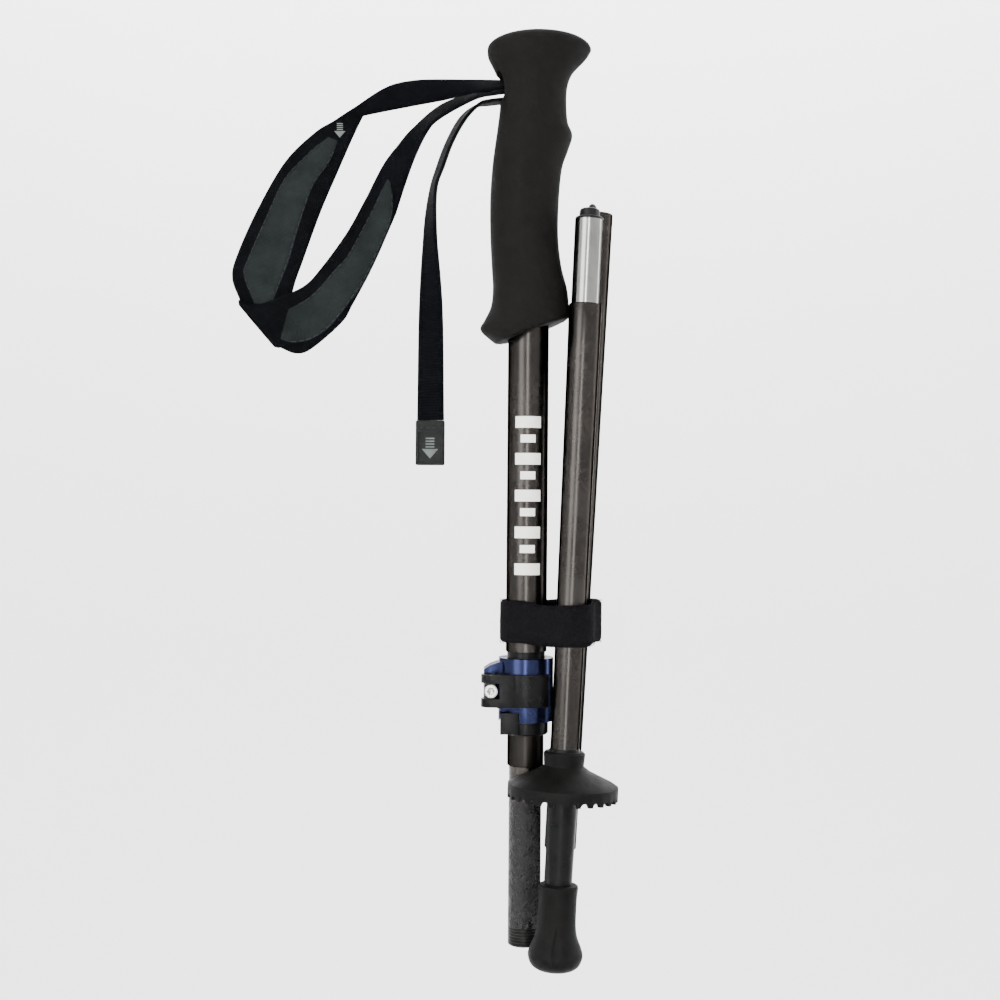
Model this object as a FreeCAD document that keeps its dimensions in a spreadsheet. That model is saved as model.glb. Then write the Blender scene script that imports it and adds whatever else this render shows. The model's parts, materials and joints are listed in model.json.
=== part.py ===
import FreeCAD, Part
import math
import os
import re
import Sketcher

# A trekking pole that folds in three, lying folded: the grip section with its lever lock, the middle section
# beside it upside down, and the lower section with basket and rubber tip.
# The origin is at mid grip on the grip section's axis, and +Z runs up that axis. Millimetres and degrees.
V = FreeCAD.Vector
UP = V(0, 0, 1)
doc = FreeCAD.newDocument("trekking_pole")
sizes = doc.addObject("Spreadsheet::Sheet", "Sizes")

DIMENSIONS = {
    # clearances
    "running_gap": 0.05, "glue_gap": 0.02, "free_gap": 0.3,
    # grip section tubes; heights are above the origin, along the axis
    "shaft_od": 18.0, "shaft_wall": 0.65, "shaft_top": 38.0, "shaft_end": -198.4,
    "extension_od": 16.0, "extension_wall": 0.8, "extension_top": -40.0, "extension_end": -248.4,
    "tension_od": 14.3, "tension_wall": 0.85, "tension_top": -190.0, "tension_end": -319.0,
    "collar_end": -327.1, "bushing_length": 12.0,
    # grip
    "dome_rise": 7.8, "core_wall": 1.2, "core_top": 62.0, "core_end": -48.0, "slot_low": 43.6, "slot_high": 55.4, "slot_width": 13.6,
    "strap_pin_od": 4.0, "strap_pin_height": 49.5, "heel_cut_angle": 20.0, "heel_cut_height": -63.0,
    # lever lock
    "clamp_top": -201.0, "clamp_end": -228.6, "clamp_od": 24.0, "base_end": -234.5, "base_od": 19.8,
    "ear_reach": 18.5, "ear_depth": 12.0, "ear_high": -206.0, "ear_low": -221.0, "split": 1.2,
    "pivot_x": -15.2, "pivot_y": -10.5, "pivot_od": 6.0, "lever_middle": -214.4, "lever_height": 14.0,
    "lever_od": 30.8, "lever_reach": 9.7, "cheek_od": 8.8, "lever_slot": 6.8, "lever_slot_od": 11.4,
    "bolt_od": 3.0, "bolt_head_od": 5.8, "bolt_head": 1.9, "nut_width": 5.5, "nut_thickness": 2.6, "socket_width": 2.5,
    # button of the tension tube
    "button_od": 4.8, "button_height": -238.6, "button_proud": 1.2, "button_travel": 2.5, "flange_od": 6.4,
    # middle section
    "fold_azimuth": 12.0, "middle_lean": 3.0, "middle_offset": 16.15, "middle_step": -285.5, "middle_od": 14.0,
    "middle_wall": 0.7, "middle_length": 281.2, "joint_od": 12.5, "joint_wall": 0.8, "middle_joint": 31.0,
    "joint_hidden": 18.0, "plug_tip": 1.6,
    # lower section
    "plug_across": 4.04, "plug_front": 13.754, "plug_below_rim": 0.32, "lower_slope_x": 0.0405, "lower_slope_y": 0.03,
    "lower_joint": 37.05, "stub_length": 4.8, "stub_od": 9.0, "lower_od": 14.5, "lower_end_od": 12.0,
    "lower_wall": 0.75, "lower_length": 210.0, "basket_top": 193.3, "basket_collar": 6.1, "basket_collar_od": 18.0,
    "basket_od": 47.6, "basket_cone": 8.2, "basket_rim": 4.1, "basket_teeth": 1.9, "tooth_count": 26,
    "notch_gap": 0.5, "sleeve_od": 13.1, "sleeve_end_od": 11.4, "sleeve_end": 267.0, "socket_depth": 18.0,
    "carbide_od": 6.0, "carbide_end": 279.0, "cap_top": 250.2, "cap_end": 286.6, "cap_od": 17.2, "cap_foot_od": 23.6,
    # cord
    "cord_od": 2.4, "cord_hole": 3.0, "cord_top": -62.0, "loop_start": -321.8, "rim_clearance": 2.0,
    # wrist strap and hook-and-loop band
    "web_thickness": 2.0, "layer_gap": 0.8, "tail_thickness": 2.0, "tab_width": 12.8, "tab_length": 19.8,
    "tab_thickness": 3.6, "tab_top": -97.0, "tab_x": -43.0, "band_height": 17.2, "band_top": -176.4,
    "band_thickness": 2.2,
}
for row, (alias, size) in enumerate(DIMENSIONS.items(), start=1):
    sizes.set(f"A{row}", alias)
    sizes.set(f"B{row}", str(size))
    sizes.setAlias(f"B{row}", alias)
doc.recompute()


def bound(expression):
    """The same expression with each size's name pointing at its cell."""
    return re.sub(r"[a-z][a-z_]+\b(?!\()", lambda word: "Sizes." + word.group(), str(expression))


def value(expression):
    """The number that an expression of the sheet's sizes stands for."""
    return float(sizes.evalExpression(bound(expression)))


def at(x=0, y=0, z=0):
    return FreeCAD.Placement(V(value(x), value(y), value(z)), FreeCAD.Rotation())


def along_y(x, y, z):
    """A placement that lays a cylinder's axis along +Y."""
    return FreeCAD.Placement(V(value(x), value(y), value(z)), FreeCAD.Rotation(V(1, 0, 0), -90))


def moved(thing, placement):
    """Carry a piece from its own section's frame into the pole's."""
    thing.Placement = placement.multiply(thing.Placement)
    return thing


def cylinder(label, diameter, height, placement):
    rod = doc.addObject("Part::Cylinder", label)
    rod.setExpression("Radius", bound(f"({diameter}) / 2"))
    rod.setExpression("Height", bound(height))
    rod.Placement = placement
    return rod


def box(label, low, high):
    """A box between two corners, each a triple of expressions."""
    block = doc.addObject("Part::Box", label)
    for side, a, b in zip(("Length", "Width", "Height"), low, high):
        block.setExpression(side, bound(f"({b}) - ({a})"))
    block.Placement = at(*low)
    return block


def fuse(label, *shapes):
    whole = doc.addObject("Part::MultiFuse", label)
    whole.Shapes = list(shapes)
    whole.Refine = True
    return whole


def cut(label, base, *tools):
    rest = doc.addObject("Part::Cut", label)
    rest.Base = base
    rest.Tool = tools[0] if len(tools) == 1 else fuse(label + "_tools", *tools)
    rest.Refine = True
    return rest


def common(label, first, second):
    shared = doc.addObject("Part::Common", label)
    shared.Base = first
    shared.Tool = second
    return shared


def turned(label, outline):
    """A body turned about Z from a closed outline of (radius, height) expressions."""
    body = doc.addObject("PartDesign::Body", label)
    section = body.newObject("Sketcher::SketchObject", label + "_section")
    plane = [f for f in body.Origin.OriginFeatures if f.Role == "XZ_Plane"][0]
    section.AttachmentSupport = (plane, [""])
    section.MapMode = "FlatFace"
    corners = [V(value(radius), value(height), 0) for radius, height in outline]
    count = len(corners)
    for i in range(count):
        section.addGeometry(Part.LineSegment(corners[i], corners[(i + 1) % count]))
    for i in range(count):
        section.addConstraint(Sketcher.Constraint("Coincident", i, 2, (i + 1) % count, 1))
    for i, (radius, height) in enumerate(outline):
        for kind, size, expression in (("DistanceX", corners[i].x, radius), ("DistanceY", corners[i].y, height)):
            number = section.addConstraint(Sketcher.Constraint(kind, -1, 1, i, 1, size))
            section.setExpression(f"Constraints[{number}]", bound(expression))
    turn = body.newObject("PartDesign::Revolution", label + "_turn")
    turn.Profile = section
    turn.ReferenceAxis = (section, ["V_Axis"])
    turn.Angle = 360
    return body


def tube(label, outer, inner, low, high):
    """A plain tube; outer and inner are diameters."""
    o, i = f"({outer}) / 2", f"({inner}) / 2"
    return turned(label, [(i, low), (o, low), (o, high), (i, high)])


def ribbon(label, first_edge, second_edge, low, thickness):
    """A flat strap between two smooth edges drawn in the XZ plane, from depth low, as thick as it says."""
    curves = []
    for edge in (first_edge, second_edge[::-1]):
        curve = Part.BSplineCurve()
        curve.interpolate([V(x, value(low), z) for x, z in edge])
        curves.append(curve.toShape())
    ends = [V(x, value(low), z) for x, z in (first_edge[-1], second_edge[-1], second_edge[0], first_edge[0])]
    wire = Part.Wire([curves[0], Part.makeLine(ends[0], ends[1]), curves[1], Part.makeLine(ends[2], ends[3])])
    strap = doc.addObject("Part::Feature", label)
    strap.Shape = Part.Face(wire).extrude(V(0, value(thickness), 0))
    return strap


def cord(label, edges):
    """A cord swept along joined edges."""
    path = Part.Wire(edges)
    start, heading = edges[0].firstVertex().Point, edges[0].tangentAt(edges[0].FirstParameter)
    round_section = Part.Wire(Part.makeCircle(value("cord_od") / 2, start, heading))
    piece = doc.addObject("Part::Feature", label)
    piece.Shape = path.makePipeShell([round_section], True, True)
    return piece


parts = {}


def keep(node, thing):
    thing.Label = node
    parts[node] = thing
    return thing


# Frames of the two folded sections. Both run upwards: the middle section from the step at its joint tube up to
# its open end, the lower section from the step at its joint tube up towards its plug.
azimuth, lean = math.radians(value("fold_azimuth")), math.radians(value("middle_lean"))
outward = V(math.cos(azimuth), math.sin(azimuth), 0)
middle_up = outward * math.sin(lean) + UP * math.cos(lean)
middle = FreeCAD.Placement(outward * value("middle_offset") + UP * value("middle_step"),
                           FreeCAD.Rotation(UP, middle_up))
lower_up = V(value("lower_slope_x"), value("lower_slope_y"), 1)
lower_up.normalize()
rim = middle.multVec(V(0, 0, value("middle_length")))
plug_top = rim - V(value("plug_across"), value("plug_front"), value("plug_below_rim"))
lower = FreeCAD.Placement(plug_top - lower_up * value("lower_joint + stub_length"), FreeCAD.Rotation(UP, lower_up))

# Grip: an EVA foam handle, its outline a stack of ovals: height, left edge, right edge, half depth.
GRIP_OVALS = [
    (66.0, -19.1, 26.6, 16.6), (62.5, -18.7, 24.4, 16.4), (56.3, -15.6, 18.7, 15.0), (50.0, -13.6, 16.3, 14.3), (42.0, -13.3, 15.9, 14.0),
    (34.0, -14.1, 16.6, 14.2), (28.6, -14.8, 18.6, 14.4), (22.0, -15.7, 16.8, 14.5), (14.0, -16.6, 14.2, 14.6),
    (0.0, -17.4, 12.9, 14.8), (-16.0, -17.2, 12.7, 14.6), (-29.0, -16.5, 14.2, 14.4), (-39.0, -15.9, 16.8, 14.8),
    (-47.0, -16.7, 17.7, 15.4), (-53.0, -19.4, 17.9, 16.4), (-57.0, -21.3, 17.9, 16.8), (-61.0, -17.6, 17.9, 16.0),
    (-66.0, -10.5, 17.9, 14.0),
]
ovals = []
for number, (height, left, right, half_depth) in enumerate(GRIP_OVALS):
    oval = doc.addObject("Part::Ellipse", f"grip_oval_{number}")
    half_width = (right - left) / 2
    oval.MajorRadius = max(half_width, half_depth)
    oval.MinorRadius = min(half_width, half_depth)
    quarter = 0 if half_width >= half_depth else 90
    oval.Placement = FreeCAD.Placement(V((left + right) / 2, 0, height), FreeCAD.Rotation(UP, quarter))
    ovals.append(oval)
handle = doc.addObject("Part::Loft", "handle")
handle.Sections = ovals
handle.Solid = True
handle.Ruled = False
crown_height, crown_left, crown_right, crown_depth = GRIP_OVALS[0]
dome = doc.addObject("Part::Ellipsoid", "dome")
dome.setExpression("Radius1", bound("dome_rise"))
dome.Radius2 = (crown_right - crown_left) / 2
dome.Radius3 = crown_depth
dome.Placement = at((crown_left + crown_right) / 2, 0, crown_height)
dome_only = common("dome_only", dome, box("above_handle", (-60, -60, crown_height), (60, 60, crown_height + 30)))
grip_blank = fuse("grip_blank", handle, dome_only)
core_od = "shaft_od + 2 * (core_wall + glue_gap)"
core_bore = cylinder("core_bore", core_od + " + 2 * glue_gap", "core_top - core_end + 2 * glue_gap",
                     at(0, 0, "core_end - glue_gap"))
shaft_bore = cylinder("shaft_bore", "shaft_od + 2 * glue_gap", 40, at(0, 0, "core_end - 35"))
slot = box("slot", ("-30", "-slot_width / 2", "slot_low"), ("-8", "slot_width / 2", "slot_high"))
heel = box("heel", (-60, -40, -40), (60, 40, 0))
heel.Placement = FreeCAD.Placement(V(-12.5, 0, value("heel_cut_height")),
                                   FreeCAD.Rotation(V(0, 1, 0), -value("heel_cut_angle"))
                                   ).multiply(FreeCAD.Placement(V(-60, -40, -40), FreeCAD.Rotation()))
keep("grip_foam", cut("grip_foam_cut", grip_blank, core_bore, shaft_bore, slot, heel))

# Grip core: a moulded liner glued on the shaft, with a head that holds the strap's pin and wedge.
core_blank = turned("core_blank", [
    ("0", "core_top"), ("0", "shaft_top + glue_gap"), ("shaft_od / 2 + glue_gap", "shaft_top + glue_gap"),
    ("shaft_od / 2 + glue_gap", "core_end"), (f"({core_od}) / 2", "core_end"), (f"({core_od}) / 2", "core_top")])
core_slot = box("core_slot", ("-shaft_od", "-slot_width / 2", "slot_low"), ("5", "slot_width / 2", "slot_high"))
pin_bore = cylinder("pin_bore", "strap_pin_od + 2 * glue_gap", 30, along_y("0.5", "-15", "strap_pin_height"))
keep("grip_core", cut("grip_core_cut", core_blank, core_slot, pin_bore))
keep("strap_pin", cylinder("pin", "strap_pin_od", 18, along_y("0.5", "-9", "strap_pin_height")))
wedge_blank = box("wedge_blank", ("-8.6", "-6", "slot_low + 0.3"), ("-2.2", "6", "slot_high - 0.3"))
wedge_slope = box("wedge_slope", (0, -10, 0), (30, 10, 20))
wedge_slope.Placement = FreeCAD.Placement(V(-18, -10, value("slot_high") - 1.2),
                                          FreeCAD.Rotation(V(0, 1, 0), 14))
keep("strap_wedge", cut("wedge_cut", wedge_blank, wedge_slope))

# The three tubes of the grip section slide in one another.
shaft_bore_od = "shaft_od - 2 * shaft_wall"
extension_bore_od = "extension_od - 2 * extension_wall"
socket_od = "joint_od + 2 * running_gap"
keep("upper_shaft", tube("shaft", "shaft_od", shaft_bore_od, "shaft_end", "shaft_top"))
extension_blank = tube("extension_blank", "extension_od", extension_bore_od, "extension_end", "extension_top")
keyway = box("keyway", ("-button_od / 2 - 0.2", "5", "extension_end - 1"),
             ("button_od / 2 + 0.2", "10", "button_height + button_od / 2 + 0.2"))
keep("extension_tube", cut("extension_cut", extension_blank, keyway))
keep("extension_bushing", turned("bushing", [
    ("4", "extension_top - bushing_length"), ("extension_od / 2 - extension_wall - glue_gap",
                                              "extension_top - bushing_length"),
    ("extension_od / 2 - extension_wall - glue_gap", "extension_top"),
    (f"({shaft_bore_od}) / 2 - running_gap", "extension_top"),
    (f"({shaft_bore_od}) / 2 - running_gap", "extension_top + 4"), ("4", "extension_top + 4")]))
tension_blank = tube("tension_blank", "tension_od", "tension_od - 2 * tension_wall", "tension_end", "tension_top")
button_hole = cylinder("button_hole", "button_od + 2 * running_gap", 8, along_y(0, 3, "button_height"))
keep("tension_tube", cut("tension_cut", tension_blank, button_hole))

# Ribbed collar crimped in the end of the tension tube: it is the socket's mouth.
collar_r, collar_bore = "tension_od / 2", "tension_od / 2 - tension_wall"
ribs = [(collar_bore, "tension_end"), (collar_r, "tension_end")]
for rib in range(5):
    ribs += [(collar_r, f"tension_end - {1.0 + 1.3 * rib}"), (f"{collar_r} - 0.25", f"tension_end - {1.2 + 1.3 * rib}"),
             (f"{collar_r} - 0.25", f"tension_end - {1.5 + 1.3 * rib}"), (collar_r, f"tension_end - {1.7 + 1.3 * rib}")]
ribs += [(collar_r, "collar_end + 0.6"), (f"{collar_r} - 0.2", "collar_end + 0.15"), (f"{collar_r} - 0.5", "collar_end"),
         (collar_bore, "collar_end")]
keep("socket_collar", turned("collar", ribs))

# Spring button: it runs in the keyway and comes out under the extension tube's rim.
button = fuse("button_union",
              cylinder("button_head", "button_od", "extension_od / 2 + button_proud - 5",
                       along_y(0, 5, "button_height")),
              cylinder("button_flange", "flange_od", 1.1, along_y(0, 4.1, "button_height")))
keep("snap_button", button)
spring = fuse("spring_union",
              box("spring_leg", ("1.6", "3.5", "button_height - 4"), ("3.6", "4.0", "button_height + 18")),
              box("spring_bow", ("1.6", "-4.8", "button_height + 18"), ("3.6", "4.0", "button_height + 18.5")),
              box("spring_back", ("1.6", "-4.8", "button_height - 4"), ("3.6", "-4.3", "button_height + 18")))
keep("button_spring", spring)

# Lever lock: a moulded collet under a split aluminium band, closed by a cam lever on a barrel pin.
collet_r = "shaft_od / 2"
inner_r = "extension_od / 2 + running_gap"
neck_r = f"({shaft_bore_od}) / 2 - glue_gap"
base_blank = turned("base_blank", [
    (inner_r, "base_end"), ("base_od / 2 - 0.6", "base_end"), ("base_od / 2", "base_end + 0.6"),
    ("base_od / 2", "clamp_end - free_gap"), (collet_r, "clamp_end - free_gap"), (collet_r, "clamp_top"),
    (neck_r, "clamp_top"), (neck_r, "shaft_end + bushing_length"), (inner_r, "shaft_end + bushing_length")])
lug = cut("lug", box("lug_blank", ("-11.2", "-10.6", "base_end + 0.9"), ("-3.3", "-6", "clamp_end + 4.2")),
          cylinder("lug_bore", "2 * (shaft_od / 2 - 0.2)", 40, at(0, 0, "base_end - 5")))
collet_slit = box("collet_slit", ("-12", "-split / 2", "clamp_end + 1"), ("-6", "split / 2", "clamp_top + 1"))
keep("lock_base", cut("base_cut", fuse("base_union", base_blank, lug), collet_slit))

ring = cylinder("ring", "clamp_od", "clamp_top - clamp_end", at(0, 0, "clamp_end"))
ear = doc.addObject("PartDesign::Body", "ear_body")
ear_sketch = ear.newObject("Sketcher::SketchObject", "ear_outline")
ear_sketch.AttachmentSupport = ([f for f in ear.Origin.OriginFeatures if f.Role == "XZ_Plane"][0], [""])
ear_sketch.MapMode = "FlatFace"
EAR_OUTLINE = [("-7", "clamp_top - 0.8"), ("-9", "clamp_top - 0.8"), ("-15.8", "ear_high + 1.8"),
               ("-ear_reach", "ear_high"), ("-ear_reach", "ear_low"), ("-12", "ear_low - 2"), ("-7", "ear_low - 2")]
ear_corners = [V(value(x), value(z), 0) for x, z in EAR_OUTLINE]
for i in range(len(ear_corners)):
    ear_sketch.addGeometry(Part.LineSegment(ear_corners[i], ear_corners[(i + 1) % len(ear_corners)]))
for i in range(len(ear_corners)):
    ear_sketch.addConstraint(Sketcher.Constraint("Coincident", i, 2, (i + 1) % len(ear_corners), 1))
for i, corner in enumerate(EAR_OUTLINE):
    for kind, expression in zip(("DistanceX", "DistanceY"), corner):
        index = ear_sketch.addConstraint(Sketcher.Constraint(kind, -1, 1, i, 1, value(expression)))
        ear_sketch.setExpression(f"Constraints[{index}]", bound(expression))
ear_pad = ear.newObject("PartDesign::Pad", "ear_pad")
ear_pad.Profile = ear_sketch
ear_pad.Midplane = True
ear_pad.setExpression("Length", bound("ear_depth"))
band_tools = [
    cylinder("middle_room", "middle_od + 2 * notch_gap", "middle_length", middle),
    cylinder("band_bore", "shaft_od + 2 * running_gap", 60, at(0, 0, "clamp_end - 10")),
    box("band_split", ("-25", "-split / 2", "clamp_end - 1"), ("0", "split / 2", "clamp_top + 1")),
    box("lug_room", ("-11.5", "-14", "clamp_end - 1"), ("-3.0", "0", "clamp_end + 4.5")),
    cylinder("bolt_way", "bolt_od + 0.2", 40, along_y("pivot_x", "-20", "lever_middle")),
    cylinder("nut_seat", "1.25 * nut_width", 20, along_y("pivot_x", "ear_depth / 2", "lever_middle")),
]
keep("clamp_band", cut("band_cut", fuse("band_union", ring, ear), *band_tools))

pin_length = "lever_height - 1.6"
barrel = cylinder("barrel", "pivot_od", pin_length, at("pivot_x", "pivot_y", f"lever_middle - ({pin_length}) / 2"))
keep("lever_barrel_pin", cut(
    "barrel_cut", barrel,
    cylinder("barrel_hole", "bolt_od + 2 * running_gap", 20, along_y("pivot_x", "pivot_y - 10", "lever_middle")),
    box("barrel_flat", ("pivot_x - 5", "pivot_y - 8", "lever_middle - bolt_head_od"),
        ("pivot_x + 5", "pivot_y - 2.5", "lever_middle + bolt_head_od"))))
bolt = fuse("bolt_union",
            cylinder("bolt_shank", "bolt_od", "ear_depth / 2 - pivot_y + 2.5 + 3.4",
                     along_y("pivot_x", "pivot_y - 2.5", "lever_middle")),
            cylinder("bolt_cap", "bolt_head_od", "bolt_head", along_y("pivot_x", "pivot_y - 2.5 - bolt_head", "lever_middle")))
socket = doc.addObject("Part::Prism", "socket")
socket.Polygon = 6
socket.setExpression("Circumradius", bound("socket_width / sqrt(3)"))
socket.Height = 2
socket.Placement = along_y("pivot_x", "pivot_y - 3.7 - 2", "lever_middle")
keep("clamp_bolt", cut("bolt_cut", bolt, socket))
nut = doc.addObject("Part::Prism", "nut_blank")
nut.Polygon = 6
nut.setExpression("Circumradius", bound("nut_width / sqrt(3)"))
nut.setExpression("Height", bound("nut_thickness"))
nut.Placement = along_y("pivot_x", "ear_depth / 2 + glue_gap", "lever_middle")
keep("clamp_nut", cut("nut_cut", nut, cylinder("nut_bore", "bolt_od + 2 * glue_gap", 10,
                                               along_y("pivot_x", "ear_depth / 2 - 2", "lever_middle"))))

low, high = "lever_middle - lever_height / 2", "lever_middle + lever_height / 2"
arm = common("arm", cylinder("arm_round", "lever_od", "lever_height", at(0, 0, low)),
             box("arm_room", ("pivot_x", "-lever_od / 2 - 1", low), ("lever_reach", "-6.6", high)))
lever_blank = fuse("lever_blank", arm,
                   cylinder("cheeks", "cheek_od", "lever_height", at("pivot_x", "pivot_y", low)),
                   box("lever_root", ("pivot_x", "pivot_y - cheek_od / 2", low), ("-5", "-11.6", high)))
keep("lock_lever", cut(
    "lever_cut", lever_blank,
    cylinder("band_room", "clamp_od + 2 * free_gap", 60, at(0, 0, "lever_middle - 30")),
    box("ear_room", ("-30", "-ear_depth / 2 - 0.08", "lever_middle - 30"), ("-6", "10", "lever_middle + 30")),
    cylinder("pin_room", "pivot_od + 2 * running_gap", 60, at("pivot_x", "pivot_y", "lever_middle - 30")),
    cylinder("head_room", "lever_slot_od", "lever_slot", at("pivot_x", "pivot_y", "lever_middle - lever_slot / 2"))))

# Tension cord of the grip section: it is held by an anchor and a crimped stop in the extension tube.
keep("cord_anchor", turned("anchor", [
    ("cord_hole / 2", "cord_top - 16"), (f"({extension_bore_od}) / 2 - glue_gap", "cord_top - 16"),
    (f"({extension_bore_od}) / 2 - glue_gap", "cord_top - 4"), ("cord_hole / 2", "cord_top - 4")]))
keep("cord_stop_upper", tube("stop_upper", "3 * cord_hole / 2 + 1", "cord_od + 2 * glue_gap", "cord_top - 4 + glue_gap",
                             "cord_top"))
keep("cord_run_upper", cylinder("cord_upper", "cord_od", "cord_top - loop_start - 0.15", at(0, 0, "loop_start + 0.15")))

# Lower loop: out of the collar, one round turn, and into the middle section's plug.
height = value("loop_start")
gap = value("middle_offset") + (height - value("middle_step")) * math.tan(lean)
radius = gap / (1 + 1 / math.cos(lean))
centre = outward * radius + UP * height
landing = centre + (outward * math.cos(lean) - UP * math.sin(lean)) * radius
plug_face = middle.multVec(V(0, 0, -value("middle_joint") - value("plug_tip")))
turn = Part.Arc(UP * height, centre - UP * radius, landing).toShape()
keep("cord_loop_lower", cord("loop_lower", [turn, Part.makeLine(landing, plug_face - middle_up * 0.1)]))

# Middle section, folded upside down: tube, joint tube, plug and its run of cord.
middle_bore = socket_od
keep("middle_tube", moved(tube("middle_tube_blank", "middle_od", middle_bore, "0", "middle_length"), middle))
keep("middle_joint_tube", moved(tube("middle_joint_blank", "joint_od", "joint_od - 2 * joint_wall", "-middle_joint",
                                     "joint_hidden"), middle))
plug_r = "joint_od / 2 - joint_wall - glue_gap"
keep("middle_plug", moved(turned("middle_plug_blank", [
    ("cord_hole / 2", "-middle_joint - plug_tip"), ("joint_od / 2 - 1.6", "-middle_joint - plug_tip"),
    ("joint_od / 2 - 0.3", "-middle_joint - 0.3"), ("joint_od / 2 - 0.3", "-middle_joint - glue_gap"),
    (plug_r, "-middle_joint - glue_gap"), (plug_r, "-middle_joint + 8"), ("cord_hole / 2", "-middle_joint + 8")]), middle))

# Lower section: silver joint tube, plug with a flared throat, tapered tube.
keep("lower_tube", moved(turned("lower_tube_blank", [
    ("lower_od / 2", "0"), ("lower_end_od / 2", "-lower_length"),
    ("lower_end_od / 2 - lower_wall", "-lower_length"), ("lower_end_od / 2 - lower_wall", "-lower_length / 2"),
    ("joint_od / 2 + glue_gap", "-joint_hidden - 6"), ("joint_od / 2 + glue_gap", "0")]), lower))
keep("lower_joint_tube", moved(tube("lower_joint_blank", "joint_od", "joint_od - 2 * joint_wall", "-joint_hidden",
                                    "lower_joint"), lower))
keep("lower_plug", moved(turned("lower_plug_blank", [
    ("cord_hole / 2", "lower_joint - 8"), (plug_r, "lower_joint - 8"), (plug_r, "lower_joint + glue_gap"),
    ("joint_od / 2 - 0.1", "lower_joint + glue_gap"), ("joint_od / 2 - 0.1", "lower_joint + 0.9"),
    ("stub_od / 2", "lower_joint + 1.3"), ("stub_od / 2 - 0.2", "lower_joint + stub_length - 1"),
    ("stub_od / 2 - 0.7", "lower_joint + stub_length - 0.2"), ("stub_od / 2 - 1.1", "lower_joint + stub_length"),
    ("cord_hole / 2 + 0.3", "lower_joint - 3")]), lower))

# Upper loop: from the lower section's plug over the rim of the middle section's open end.
loop_top = rim.z + value("rim_clearance")


def on_axis(origin, direction, height):
    return origin + direction * ((height - origin.z) / direction.z)


def loop_ends(depth):
    start = on_axis(lower.Base, lower_up, loop_top - depth)
    finish = on_axis(middle.Base, middle_up, loop_top - depth)
    return start, finish


loop_radius = 7.0
for _ in range(4):
    loop_foot, loop_head = loop_ends(loop_radius)
    loop_radius = (loop_head - loop_foot).Length / 2
loop_crown = (loop_foot + loop_head) * 0.5 + UP * loop_radius
keep("cord_loop_upper", cord("loop_upper", [Part.Arc(loop_foot, loop_crown, loop_head).toShape()]))
middle_run_start = -value("middle_joint") - value("plug_tip")
middle_run_end = (loop_head - middle.Base).dot(middle_up) - 0.2
run = cylinder("cord_middle", "cord_od", middle_run_end - middle_run_start, at(0, 0, middle_run_start))
keep("cord_run_middle", moved(run, middle))
lower_run_end = (loop_foot - lower.Base).dot(lower_up) - 0.2
run = cylinder("cord_lower", "cord_od", f"lower_length - 25 + {lower_run_end}", at(0, 0, "25 - lower_length"))
keep("cord_run_lower", moved(run, lower))
keep("cord_stop_lower", moved(tube("stop_lower", "lower_end_od - 2 * lower_wall - 0.4", "cord_od + 2 * glue_gap",
                                   "26 - lower_length", "32 - lower_length"), lower))

# Tip: a moulded sleeve glued on the tapered tube, a carbide tip in it, and the basket screwed over it.
sleeve_r = "sleeve_od / 2"
keep("tip_sleeve", moved(turned("sleeve", [
    ("0", "-sleeve_end + 12"), ("0", "-lower_length - glue_gap"), ("lower_end_od / 2 + glue_gap", "-lower_length - glue_gap"),
    ("lower_end_od / 2 + 0.13", "socket_depth - lower_length"), (sleeve_r, "socket_depth - lower_length"),
    (sleeve_r, "-basket_top - 28"), ("sleeve_end_od / 2", "-cap_top"), ("sleeve_end_od / 2 - 0.2", "2 - sleeve_end"),
    ("sleeve_end_od / 2 - 1.4", "-sleeve_end"), ("carbide_od / 2 + glue_gap", "-sleeve_end"),
    ("carbide_od / 2 + glue_gap", "-sleeve_end + 12")]), lower))
keep("carbide_tip", moved(turned("carbide", [
    ("0", "12 - sleeve_end - glue_gap"), ("0", "1.6 - carbide_end"), ("1.9", "-carbide_end"), ("2.6", "-carbide_end"),
    ("carbide_od / 2", "3 - carbide_end"), ("carbide_od / 2", "12 - sleeve_end - glue_gap")]), lower))
cap_r = "cap_od / 2"
keep("rubber_cap", moved(turned("cap", [
    ("0", "-cap_end"), ("5.4", "-cap_end"), ("9.0", "1.6 - cap_end"), ("cap_foot_od / 2 - 0.8", "4.2 - cap_end"),
    ("cap_foot_od / 2", "7.2 - cap_end"), ("cap_foot_od / 2 - 0.9", "10 - cap_end"), (f"{cap_r} + 0.5", "14.5 - cap_end"),
    (f"{cap_r} - 0.3", "19 - cap_end"), (cap_r, "-cap_top - 0.8"), (f"{cap_r} - 0.6", "-cap_top"),
    ("sleeve_end_od / 2 + running_gap", "-cap_top"), ("sleeve_end_od / 2 + running_gap", "-sleeve_end - 0.5"),
    ("carbide_od / 2 + 0.4", "-sleeve_end - 0.5"), ("carbide_od / 2 + 0.4", "-carbide_end - 0.6"),
    ("0", "-carbide_end - 0.6")]), lower))

basket_r, collar_out = "basket_od / 2", "basket_collar_od / 2"
collar_low = "-basket_top - basket_collar"
basket_blank = turned("basket_blank", [
    (f"{sleeve_r} + glue_gap", "-basket_top"), (f"{collar_out} - 0.8", "-basket_top"),
    (collar_out, "-basket_top - 0.8"), (f"{collar_out} - 0.4", collar_low), (f"{collar_out} + 2.6", f"{collar_low} - 2.2"),
    (f"{basket_r} - 2.5", f"{collar_low} - basket_cone + 1.6"), (basket_r, f"{collar_low} - basket_cone"),
    (basket_r, f"{collar_low} - basket_cone - basket_rim - basket_teeth"),
    (f"{basket_r} - 2.0", f"{collar_low} - basket_cone - basket_rim - basket_teeth"),
    (f"{basket_r} - 3.4", f"{collar_low} - basket_cone - 0.6"), (f"{collar_out} + 2.0", f"{collar_low} - 5.2"),
    (f"{sleeve_r} + glue_gap", f"{collar_low} - 5.6")])
teeth = []
rim_low = -value("basket_top + basket_collar + basket_cone + basket_rim + basket_teeth")
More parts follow.
